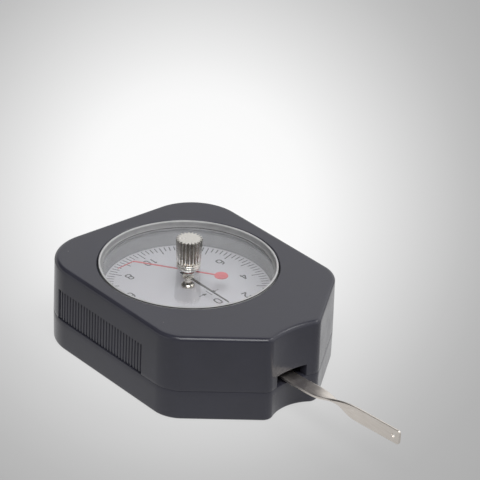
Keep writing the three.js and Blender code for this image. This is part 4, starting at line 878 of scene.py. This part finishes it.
black_paint = paint_material("black_paint", (0.012, 0.012, 0.013), (0.020, 0.020, 0.021), 0.42)
pointer_low, pointer_high = node_box("force_pointer")
pointer_tip, pointer_level = pointer_high[0], (pointer_low[2] + pointer_high[2]) / 2
pointer_thickness = pointer_high[2] - pointer_low[2]
pointer_root = hub_high[0] + POINTER_ROOT_GAP
pointer_places = (pointer_root, POINTER_WAIST_SHARE * pointer_tip, pointer_tip - POINTER_POINT_LENGTH,
                  pointer_tip)
pointer_parts = [
    blade([(x, pointer_level) for x in (-POINTER_TAIL, -pointer_root)], POINTER_TAIL_WIDTHS, pointer_thickness),
    blade([(x, pointer_level) for x in pointer_places], POINTER_WIDTHS, pointer_thickness),
    eye_ring(hub_high[0] + FIT_GAP, pointer_low[2], pointer_high[2])]
eye_faces = np.repeat([0, 0, 1], [faces.size // 4 for points, faces in pointer_parts])
pointer = new_piece("force_pointer_blade", pointer_parts, [black_paint, nickel], face_materials=eye_faces)
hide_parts("force_pointer")
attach(pointer, "pointer")

# Red drag pointer
# A thin red blade that the knob's stem carries under the lens. Its end is bent down to the scale, and a
# disc on its tail balances it.
DRAG_ANGLE = math.radians(-145)
DRAG_WIDTH = 0.4
DRAG_TIP_WIDTH = 0.28
DRAG_THICKNESS = 0.3
DRAG_ROOT_GAP = 0.4
DRAG_BEND = ((15.4, 0), (15.9, -0.08), (16.3, -0.36))
DRAG_TIP = (20.3, -3.1)
DISC_REACH = 9.4
DISC_RADIUS = 1.93
DISC_CHAMFER = 0.08
STEM_RADIUS = 1.1
drag_top = node_box("max_pointer")[1, 2]
drag_level = drag_top - DRAG_THICKNESS / 2


def drag_pointer_parts():
    """The blade with its bent end, the tail, the disc and the eye, as closed solids that run into each
    other."""
    root = STEM_RADIUS + DRAG_ROOT_GAP
    front = np.array([(root, 0), *DRAG_BEND, DRAG_TIP]) + [0, drag_level]
    tail = [(-DISC_REACH, drag_level), (-root, drag_level)]
    bottom = drag_top - DRAG_THICKNESS
    low, high = bottom - EYE_PROUD, drag_top + EYE_PROUD
    disc = [(0, low), (DISC_RADIUS - DISC_CHAMFER, low), (DISC_RADIUS, low + DISC_CHAMFER),
            (DISC_RADIUS, high - DISC_CHAMFER), (DISC_RADIUS - DISC_CHAMFER, high), (0, high)]
    return [blade(front, [DRAG_WIDTH] * 4 + [DRAG_TIP_WIDTH], DRAG_THICKNESS, DRAG_ANGLE),
            blade(tail, [DRAG_WIDTH] * 2, DRAG_THICKNESS, DRAG_ANGLE),
            turned(disc, 64, -DISC_REACH * direction(DRAG_ANGLE)),
            eye_ring(STEM_RADIUS + FIT_GAP, bottom, drag_top)]


red_paint = paint_material("red_paint", (0.44, 0.075, 0.09), (0.50, 0.095, 0.11), 0.45)
drag_pointer = new_piece("drag_pointer_blade", drag_pointer_parts(), [red_paint])
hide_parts("max_pointer")
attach(drag_pointer, "reset")

# Reset stem, clip and knob
# A nickel stem passes through the lens in a brass bush. A cone and a flange end it below, a clip holds
# the red pointer on it, and a fluted nickel knob with a beaded collar is pressed on above.
STEM_CONE_HEIGHT = 0.95
KNOB_FLUTES = 20
KNOB_FLUTE_DEPTH = 0.74
KNOB_FLUTE_STEEPNESS = 2.8
KNOB_FLUTE_BREADTH = 1.25
KNOB_COLLAR_HEIGHT = 2
KNOB_COLLAR_RADIUS = 3.35
KNOB_WAIST_RADIUS = 2.95
KNOB_BASE_RADIUS = 3.42
KNOB_CHAMFER = 0.3
BEAD_LEVELS = (0, 1.05, 1.75)
BEAD_DEPTH = 0.32
# The painted shade in the knob's flutes and collar: where it fades out, and its tone.
FLUTE_SHADE_RADII = (2.85, 3.3)
FLUTE_SHADE_TONE = (0.50, 0.465, 0.42)
stem_low, stem_high = node_box("reset_stem")
clip_low, clip_high = node_box("stem_clip")
knob_low, knob_high = node_box("reset_knob")
flange, shoulder = stem_high[0], stem_low[2] + STEM_CONE_HEIGHT
stem_profile = [(0, stem_low[2]), (0.75, stem_low[2]), (0.95, stem_low[2] + 0.12),
                (flange - 0.06, shoulder - 0.21), (flange, shoulder - 0.15), (flange, shoulder - 0.05),
                (flange - 0.05, shoulder), (STEM_RADIUS, shoulder), (STEM_RADIUS, stem_high[2]),
                (0, stem_high[2])]
stem = new_piece("reset_stem_turned", [turned(stem_profile, 72)], [nickel])
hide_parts("reset_stem")
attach(stem, "reset")
turned_piece("stem_clip_ring", "stem_clip",
             section(STEM_RADIUS + FIT_GAP, clip_high[0], clip_low[2], clip_high[2]),
             "reset", bright_steel, 64, 0.04)


def knob_rows():
    """The knob's skin as rows of (crest radius, flute depth, height): down the bore, over the round beads
    of the collar and its waist, and up the flutes to the top's edge."""
    bottom, top, crest = knob_low[2], knob_high[2], knob_high[0]
    bore, bore_top = STEM_RADIUS + FIT_GAP, stem_high[2] + 0.05
    start = bottom + KNOB_COLLAR_HEIGHT
    rows = [(0, 0, bore_top), (bore, 0, bore_top), (bore, 0, bottom + 0.1), (bore + 0.1, 0, bottom)]
    for low, high in zip(BEAD_LEVELS[:-1], BEAD_LEVELS[1:]):
        rows += [(KNOB_COLLAR_RADIUS - BEAD_DEPTH * (1 - math.sin(turn)), 0,
                  bottom + (low + high) / 2 - (high - low) / 2 * math.cos(turn))
                 for turn in np.linspace(0.12, math.pi - 0.12, 9)]
    rows += [(KNOB_WAIST_RADIUS, 0, bottom + BEAD_LEVELS[-1] + 0.01), (KNOB_WAIST_RADIUS, 0, start - 0.02),
             (KNOB_BASE_RADIUS - KNOB_CHAMFER, 0.12, start), (KNOB_BASE_RADIUS - 0.12, 0.3, start + 0.1)]
    rows += [(KNOB_BASE_RADIUS + (crest - KNOB_BASE_RADIUS) * share, KNOB_FLUTE_DEPTH,
              start + KNOB_CHAMFER + (top - 2 * KNOB_CHAMFER - start) * share) for share in (0, 0.33, 0.66, 1)]
    rows += [(crest - inset, KNOB_FLUTE_DEPTH, top - drop)
             for inset, drop in ((0, 0.1), (0.02, 0.03), (0.08, 0))]
    return np.array(rows)


def knob_parts():
    """The knob's rows turned about the axis, closed by the flat top.

    The radius at an angle is the crest's radius less the flute's depth times a wave: a narrow rounded
    groove between broad crests.
    """
    crest, depth, height = knob_rows().T[:, :, None]
    angle = np.linspace(0, 2 * math.pi, KNOB_FLUTES * 20, endpoint=False)
    phase = angle * KNOB_FLUTES / (2 * math.pi) % 1
    radius = crest - depth * ramp(KNOB_FLUTE_BREADTH - np.abs(phase - 0.5) * KNOB_FLUTE_STEEPNESS)
    radius = np.concatenate([radius, radius[-1:] * [[0.97], [0.5], [0]]])
    height = np.concatenate([height, np.full((3, 1), knob_high[2])])
    points = np.stack([radius * np.cos(angle), radius * np.sin(angle),
                       np.broadcast_to(height, radius.shape)], -1)
    return [(points, grid_quads(*radius.shape))]


def shade_knob_flutes(material):
    """Painted shade: darkens a turned metal in the depth of the knob's flutes and collar, but not on its
    flat top.
    """
    tree = material.node_tree
    base = tree.nodes["Principled BSDF"].inputs["Base Color"]
    x, y, z = node(tree, "SeparateXYZ", {0: node(tree, "TexCoord").outputs["Object"]}).outputs
    crest = span(tree, flat_length(tree, x, y), 0, 1, FLUTE_SHADE_RADII[0] * MM, FLUTE_SHADE_RADII[1] * MM)
    unshaded = maths(tree, "MAXIMUM", crest, maths(tree, "GREATER_THAN", z, (knob_high[2] - 0.02) * MM))
    tree.links.new(blend(tree, unshaded, FLUTE_SHADE_TONE, base.links[0].from_socket), base)


knob_nickel = turned_metal("knob_nickel", (0.76, 0.735, 0.69), (0.86, 0.835, 0.79), 0.22, relief=0.12)
# Painted shade in the depth of the knob's flutes and collar.
shade_knob_flutes(knob_nickel)
knob = new_piece("reset_knob_fluted", knob_parts(), [knob_nickel], crease=40)
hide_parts("reset_knob")
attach(knob, "reset")

# Lens
# A clear acrylic dish with a thick moulded rim that stands a hair above the case. It sits on a rubber
# ring, and its middle is bored for the stem's bush.
LENS_RIM_WIDTH = 0.62
LENS_THICKNESS = 0.8
SEAL_WIDTH = 1
# Kinds of lens face: the clear pane, the rim's painted glare, its painted highlight and the painted gap shadow.
PANE, RIM_SIDE, RIM_TOP, GAP_SHADOW_LINE = range(4)
lens_low, lens_high = node_box("lens")
pane_low = clip_high[2] + 0.05
pane_high = pane_low + LENS_THICKNESS


def lens_parts():
    """The lens turned from its section of (radius, height, material of the face that follows), and a
    number for the material of each face.

    The clear moulded rim is painted pale all round as a painted highlight, and mid grey on its inner side
    as painted glare, but for a black painted shadow line where it meets the case. Its side runs on a
    little way over the pane. Rows close to each end of the pane's two faces keep their shading flat.
    """
    outer, inner, bore = lens_high[0], lens_high[0] - LENS_RIM_WIDTH, node_box("stem_bush")[1, 0] + FIT_GAP
    foot, top = lens_low[2], lens_high[2]
    rows = [(bore, pane_low, PANE), (bore + 0.1, pane_low, PANE), (inner - 0.5, pane_low, PANE),
            (inner - 0.3, pane_low, PANE), (inner, foot, RIM_TOP), (outer - 0.1, foot, RIM_TOP),
            (outer, foot + 0.1, RIM_TOP), (outer, top - 0.4, GAP_SHADOW_LINE), (outer - 0.02, top - 0.16, RIM_TOP),
            (outer - 0.07, top - 0.05, RIM_TOP), (outer - 0.16, top, RIM_TOP), (inner + 0.14, top, RIM_TOP),
            (inner + 0.05, top - 0.05, RIM_TOP), (inner + 0.01, top - 0.14, RIM_TOP),
            (inner, top - 0.25, RIM_SIDE), (inner, pane_high + 0.5, RIM_SIDE),
            (inner - 0.02, pane_high + 0.3, RIM_SIDE), (inner - 0.07, pane_high + 0.1, RIM_SIDE),
            (inner - 0.16, pane_high, RIM_SIDE), (inner - 0.25, pane_high, RIM_SIDE),
            (inner - 0.6, pane_high, PANE), (inner - 0.75, pane_high, PANE),
            (bore + 0.1, pane_high, PANE), (bore, pane_high, PANE), (bore, pane_low, PANE)]
    return turned([row[:2] for row in rows], 192), np.repeat([row[2] for row in rows[:-1]], 192)


def mixed(tree, share, first, second):
    """A mix of two shader nodes: the first where the share is 0 and the second where it is 1."""
    return node(tree, "MixShader", {"Fac": share, 1: first.outputs[0], 2: second.outputs[0]})


def show(tree, surface, output="Material Output"):
    """Joins a shader node to the tree's output."""
    tree.links.new(surface.outputs[0], tree.nodes[output].inputs["Surface"])


def clear_material(name, tint, roughness):
    """Clear acrylic, with a faint unevenness in its surface. Rays to the lamps pass straight through."""
    material, tree, shader, place = new_material(name, Base_Color=(*tint, 1), IOR=1.49, Transmission_Weight=1)
    haze = span(tree, noise(tree, place, 400, 2), roughness * 0.6, roughness * 1.4)
    tree.links.new(haze, shader.inputs["Roughness"])
    open_way = node(tree, "BsdfTransparent", {"Color": (*tint, 1)})
    show(tree, mixed(tree, node(tree, "LightPath").outputs["Is Shadow Ray"], shader, open_way))
    return material


lens_part, lens_kinds = lens_parts()
# Painted light on the clear rim: a pale painted highlight, grey painted glare and a black painted shadow.
lens_materials = [clear_material("clear_acrylic", (0.985, 0.99, 0.99), 0.01),
                  paint_material("rim_side_painted_glare", (0.31, 0.31, 0.315), (0.36, 0.36, 0.365), 0.4),
                  paint_material("rim_top_painted_highlight", (0.50, 0.50, 0.50), (0.60, 0.60, 0.60), 0.2),
                  paint_material("painted_gap_shadow", (0.012, 0.012, 0.012), (0.018, 0.018, 0.018), 0.7)]
lens = new_piece("lens_dish", [lens_part], lens_materials, face_materials=lens_kinds)
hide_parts("lens")
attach(lens, "case")
seal_low, seal_high = node_box("lens_seal")
grey_rubber = paint_material("grey_rubber", (0.30, 0.30, 0.305), (0.34, 0.34, 0.345), 0.7)
turned_piece("lens_seal_ring", "lens_seal",
             section(seal_high[0] - SEAL_WIDTH, seal_high[0], seal_low[2], seal_high[2]),
             "case", grey_rubber, 180, 0.1)

# Stylus
# A spring-steel strip, flat where it leaves the slot, twisted a quarter turn and straight on edge to its
# tip, which has rounded corners and a small drilled eye.
STYLUS_ROOT_WIDTH = 4.7
STYLUS_WIDTH = 4.1
STYLUS_THICKNESS = 0.7
STYLUS_REACH = 56.5
STYLUS_RISE = 2.5
STYLUS_BEND_START = 16
STYLUS_TWIST_START = 24
STYLUS_TWIST_LENGTH = 17
STYLUS_EYE_RADIUS = 0.62
STYLUS_EYE_INSET = 2.1
STYLUS_EYE_ROW = 0.9
STYLUS_FACE_COLUMNS = (1.7, 1.5)
STYLUS_TIP_RADIUS = 0.8
STYLUS_EDGE = 0.14
stylus_low, stylus_high = node_box("stylus")
pivot = stylus_high[0] - STYLUS_REACH
stylus_root_level = stylus_low[2] + STYLUS_THICKNESS / 2
eye_reach = STYLUS_REACH - STYLUS_EYE_INSET
eye_field = 2 * STYLUS_EYE_RADIUS


def stylus_grid():
    """The distances from the pivot at which the strip has a row, and the places across its face at which
    it has a column, both finer round the eye."""
    half, twist_end = STYLUS_WIDTH / 2, STYLUS_TWIST_START + STYLUS_TWIST_LENGTH
    near_eye = np.linspace(-STYLUS_EYE_RADIUS, STYLUS_EYE_RADIUS, 9)
    side = np.array([half - STYLUS_EDGE, *STYLUS_FACE_COLUMNS, eye_field, STYLUS_EYE_ROW])
    reaches = [np.linspace(stylus_low[0] - pivot, STYLUS_BEND_START, 6),
               np.linspace(STYLUS_BEND_START, STYLUS_TWIST_START, 6),
               np.linspace(STYLUS_TWIST_START, twist_end, 70), np.linspace(twist_end, eye_reach - eye_field, 8),
               eye_reach + near_eye, eye_reach + np.array([-STYLUS_EYE_ROW, STYLUS_EYE_ROW, eye_field]),
               STYLUS_REACH - STYLUS_TIP_RADIUS * (1 - arc_shares(7)[0])]
    return np.unique(np.round(np.concatenate(reaches), 6)), np.concatenate([-side, near_eye, side[::-1]])


def stylus_parts():
    """The strip as rows along its length and columns round its section, with its eye.

    The twist eases from 0 to a quarter turn, and the strip narrows over the same length. The middle line
    rises evenly past the bend. Near the tip the half width shrinks by a quarter circle. Round the eye, the
    grid's squares are drawn to circles: a point at square distance m goes to the circle of radius m, less
    and less out to twice the eye's radius.
    """
    reaches, across = stylus_grid()
    flat_half = STYLUS_WIDTH / 2 - STYLUS_EDGE
    into_tip = np.clip((reaches - STYLUS_REACH + STYLUS_TIP_RADIUS) / STYLUS_TIP_RADIUS, 0, 1)
    narrow = STYLUS_TIP_RADIUS * (1 - np.sqrt(1 - into_tip ** 2))
    before_twist = 1 - ramp((reaches - STYLUS_TWIST_START) / STYLUS_TWIST_LENGTH)
    broader = 1 + (STYLUS_ROOT_WIDTH / STYLUS_WIDTH - 1) * before_twist
    along, wide = np.meshgrid(reaches, across, indexing="ij")
    wide = wide * (broader * (flat_half - narrow) / flat_half)[:, None]
    from_eye = along - eye_reach
    square = np.maximum(np.abs(from_eye), np.abs(wide))
    drawn = np.clip((eye_field - square) / (eye_field - STYLUS_EYE_RADIUS), 0, 1) * (square < eye_field)
    drawn = drawn * (square / np.maximum(np.hypot(from_eye, wide), 1e-9) - 1)
    along, wide = along + from_eye * drawn, wide + wide * drawn
    level = STYLUS_THICKNESS / 2
    sine, cosine = arc_shares(4)
    edge_across, edge_up = STYLUS_EDGE * sine[1:], level - STYLUS_EDGE * (1 - cosine[1:])
    right = wide[:, -1:] + np.concatenate([edge_across, edge_across[::-1]])
    right_up = np.concatenate([edge_up, -edge_up[::-1]])
    count, edge_count = wide.shape[1], right.shape[1]
    width = np.concatenate([wide, right, wide[:, ::-1], -right], 1)
    up = np.concatenate([np.full(count, level), right_up, np.full(count, -level), -right_up])
    length = np.concatenate([along, np.broadcast_to(along[:, -1:], right.shape), along[:, ::-1],
                             np.broadcast_to(along[:, :1], right.shape)], 1)
    turn = math.pi / 2 * ramp((length - STYLUS_TWIST_START) / STYLUS_TWIST_LENGTH)
    rise = STYLUS_RISE * np.clip((length - STYLUS_BEND_START) / (STYLUS_REACH - STYLUS_BEND_START), 0, 1)
    points = np.stack([pivot + length, width * np.cos(turn) + up * np.sin(turn),
                       stylus_root_level + rise - width * np.sin(turn) + up * np.cos(turn)], -1)
    rows, columns = length.shape
    quads = grid_quads(rows, columns)

    eye_rows = np.abs((reaches[:-1] + reaches[1:]) / 2 - eye_reach) < STYLUS_EYE_RADIUS
    eye_columns = np.abs((across[:-1] + across[1:]) / 2) < STYLUS_EYE_RADIUS
    back = count + edge_count
    sunk = np.zeros(columns, bool)
    sunk[:count - 1], sunk[back:back + count - 1] = eye_columns, eye_columns[::-1]
    row, column = (np.append(inside, inside[-1] + 1) for inside in map(np.flatnonzero, (eye_rows, eye_columns)))
    wide_run, long_run = len(column) - 1, len(row) - 1
    loop_row = np.concatenate([np.full(wide_run, row[0]), row[:-1], np.full(wide_run, row[-1]), row[:0:-1]])
    loop_column = np.concatenate([column[:-1], np.full(long_run, column[-1]), column[:0:-1],
                                  np.full(long_run, column[0])])
    front_loop = loop_row * columns + loop_column
    back_loop = loop_row * columns + back + count - 1 - loop_column
    bore = np.stack([front_loop, np.roll(front_loop, -1), np.roll(back_loop, -1), back_loop], 1)

    top = np.arange(-(edge_count // 2), count + edge_count // 2)
    top, bottom = top % columns, (back + count - 1 - top) % columns
    cap = np.stack([top[:-1], top[1:], bottom[1:], bottom[:-1]], 1)
    faces = [quads[~(eye_rows[:, None] & sunk)], bore, cap, cap + (rows - 1) * columns]
    return [(points, np.concatenate(faces))]


stylus_steel = brushed_metal("spring_steel_strip", (0.80, 0.74, 0.68), (0.96, 0.90, 0.835), 0.35, 0.18)
stylus = new_piece("stylus_strip", stylus_parts(), [stylus_steel], crease=40)
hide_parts("stylus")
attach(stylus, "lever")

# Floor
# A pale paper sweep with a painted pool of light, brightest under the gauge and darker towards its edges,
# which also glows to the camera and in reflections. It is open under the case, which hides that from
# above, so that views from below show the back.
FLOOR_SIZE = 4000
FLOOR_DROP = 0.1
FLOOR_HOLE_INSET = 2.5
FLOOR_GLOW_SHARE = 0.82
CAMERA_AZIMUTH = math.radians(48.885)
CAMERA_ELEVATION = math.radians(28.436)
CAMERA_ROLL = math.radians(2.411)
CAMERA_FOCAL_PIXELS = 2726.6
CAMERA_DISTANCE = 749.86
TARGET_PIXEL = (188.59, 263.33)
FRAME_PIXELS = 480
GLOW_PIXEL = (195, 205)
GLOW_RADIUS_PIXELS = 400
# The painted pool of light: its tone at each share of the glow's radius.
FLOOR_LIGHT_POOL_TONES = ((0, 1.0), (0.2, 1.0), (0.275, 0.985), (0.325, 0.945), (0.375, 0.887), (0.475, 0.773),
               (0.575, 0.663), (0.675, 0.563), (0.75, 0.508), (0.85, 0.46), (1, 0.43))


def camera_axes():
    """Right, up and back of the camera as unit vectors: azimuth 0 looks along +Y, roll turns the picture."""
    level = np.array([*direction(CAMERA_AZIMUTH), 0])
    toward = np.array([level[1], -level[0], 0])
    back = math.cos(CAMERA_ELEVATION) * toward + [0, 0, math.sin(CAMERA_ELEVATION)]
    up = np.cross(back, level)
    cosine, sine = direction(CAMERA_ROLL)
    return cosine * level + sine * up, cosine * up - sine * level, back


def camera_place():
    """Where the camera stands so that the dial's axis at the case's top shows at the target pixel."""
    right, up, back = camera_axes()
    aside, below = (np.array(TARGET_PIXEL) - FRAME_PIXELS / 2) / CAMERA_FOCAL_PIXELS * CAMERA_DISTANCE
    return np.array([0, 0, case_top]) - aside * right + below * up + CAMERA_DISTANCE * back


def reach_along(tree, vector, axis):
    """How far a vector socket reaches along an axis."""
    return node(tree, "VectorMath", {0: vector, 1: tuple(axis)}, operation="DOT_PRODUCT").outputs["Value"]


def floor_material():
    """Matt paper with a painted pool of light. Its tone is a ramp over the distance from the glow's middle,
    in rings that look round from the camera's place.

    A point's offset from the camera is measured along the camera's right, down and forward axes. Right
    and down divided by forward, times the focal length, are its place in the picture.
    """
    material, tree, shader, place = new_material("paper_sweep", Roughness=0.9, Specular_IOR_Level=0.1)
    right, up, back = camera_axes()
    aside, below, ahead = (
        maths(tree, "SUBTRACT", reach_along(tree, place, axis), float(camera_place() @ axis * MM))
        for axis in (right, -up, -back))
    sides = [maths(tree, "MULTIPLY_ADD", maths(tree, "DIVIDE", offset, ahead),
                   CAMERA_FOCAL_PIXELS / GLOW_RADIUS_PIXELS, (FRAME_PIXELS / 2 - middle) / GLOW_RADIUS_PIXELS)
             for offset, middle in zip((aside, below), GLOW_PIXEL)]
    tones = node(tree, "ValToRGB", {"Fac": flat_length(tree, *sides)})
    stops = tones.color_ramp.elements
    for share, tone in FLOOR_LIGHT_POOL_TONES[1:-1]:
        stops.new(share)
    for stop, (share, tone) in zip(sorted(stops, key=lambda one: one.position), FLOOR_LIGHT_POOL_TONES):
        stop.position = share
        stop.color = (tone, tone, tone, 1)
    tree.links.new(tones.outputs[0], shader.inputs["Base Color"])
    rays = node(tree, "LightPath").outputs
    seen = maths(tree, "MAXIMUM", maths(tree, "MAXIMUM", rays["Is Camera Ray"], rays["Is Glossy Ray"]),
                 rays["Is Transmission Ray"])
    # Painted light: camera, glossy and transmission rays see the pool's tones glow, though the floor is no
    # lamp.
    glow = node(tree, "Emission", {"Color": tones.outputs[0], "Strength": 1})
    paper = mixed(tree, maths(tree, "MULTIPLY", seen, FLOOR_GLOW_SHARE), shader, glow)
    from_below = node(tree, "NewGeometry").outputs["Backfacing"]
    show(tree, mixed(tree, from_below, paper, node(tree, "BsdfTransparent")))
    return material


floor_hole = case_ring(-FLOOR_HOLE_INSET, 0) - [0, 0, FLOOR_DROP]
floor_rings = np.stack(rings_like(floor_hole, (0, 0), [(FLOOR_SIZE / 2, -FLOOR_DROP),
                                                       (3 * case_half_width, -FLOOR_DROP)]) + [floor_hole])
floor_mesh = bpy.data.meshes.new("floor")
floor_mesh.from_pydata(floor_rings.reshape(-1, 3) * MM, [],
                       grid_quads(*floor_rings.shape[:2]).reshape(-1, 4).tolist())
floor_mesh.materials.append(floor_material())
floor_sheet = bpy.data.objects.new("floor", floor_mesh)
bpy.context.scene.collection.objects.link(floor_sheet)

# Light
# A white tent with a dark roof: a bright sky round the sides, dim behind the camera, and two soft boxes
# above, which draw thin light lines along the edges of the nose and of the case's top.
SKY_STRENGTH = 0.82
SKY_CAMERA_SIDE = (0.78, -0.6, 0.15)
SKY_CAMERA_RANGE = (0.4, 1)
SKY_CAMERA_LEVEL = 0.02
SKY_DARK_ROOF = (-0.4, -0.25, 0.88)
SKY_ROOF_RANGE = (0.56, 0.77)
SKY_ROOF_SHARE = 0.06
SKY_SEEN_TONE = (0.8, 0.8, 0.8, 1)


def build_sky():
    """An even white sky that dims behind the camera and in its dark roof, and one pale tone for what looks
    past the floor."""
    world = bpy.data.worlds.new("tent")
    bpy.context.scene.world = world
    world.use_nodes = True
    tree = world.node_tree
    tree.nodes.clear()
    way = node(tree, "TexCoord").outputs["Generated"]
    level = span(tree, reach_along(tree, way, SKY_CAMERA_SIDE), SKY_STRENGTH, SKY_CAMERA_LEVEL,
                 *SKY_CAMERA_RANGE)
    roof = span(tree, reach_along(tree, way, SKY_DARK_ROOF), 1, SKY_ROOF_SHARE, *SKY_ROOF_RANGE,
                interpolation_type="SMOOTHSTEP")
    light = node(tree, "Background", {"Color": (1, 1, 1, 1), "Strength": maths(tree, "MULTIPLY", level, roof)})
    plain = node(tree, "Background", {"Color": SKY_SEEN_TONE, "Strength": 1})
    output = node(tree, "OutputWorld")
    show(tree, mixed(tree, node(tree, "LightPath").outputs["Is Camera Ray"], light, plain), output.name)


def soft_box(name, place, size, watts):
    """A square area lamp at place, in metres, that faces the gauge."""
    lamp = bpy.data.lights.new(name, "AREA")
    lamp.shape = "SQUARE"
    lamp.size = size
    lamp.energy = watts
    box = bpy.data.objects.new(name, lamp)
    back = np.array(place) / np.linalg.norm(place)
    side = np.cross([0, 0, 1], back)
    side = side / np.linalg.norm(side)
    turn = np.eye(4)
    turn[:3] = np.stack([side, np.cross(back, side), back, place], 1)
    box.matrix_world = Matrix(turn.tolist())
    bpy.context.scene.collection.objects.link(box)


build_sky()
soft_box("high_box", place=(0.6, -0.42, 1.35), size=0.9, watts=13)
soft_box("right_box", place=(0.45, 0.85, 1.1), size=0.5, watts=2)

# Camera
# The photograph's own view: its place and angle were solved from the case's edges and the window.
camera_data = bpy.data.cameras.new("camera")
camera_data.sensor_width = 36
camera_data.lens = camera_data.sensor_width * CAMERA_FOCAL_PIXELS / FRAME_PIXELS
camera_data.clip_start = 0.01
camera_data.clip_end = 20
camera = bpy.data.objects.new("camera", camera_data)
camera_matrix = np.eye(4)
camera_matrix[:3, :3] = np.stack(camera_axes(), 1)
camera_matrix[:3, 3] = camera_place() * MM
camera.matrix_world = Matrix(camera_matrix.tolist())
bpy.context.scene.collection.objects.link(camera)
bpy.context.scene.camera = camera
bpy.context.scene.view_settings.view_transform = "Standard"
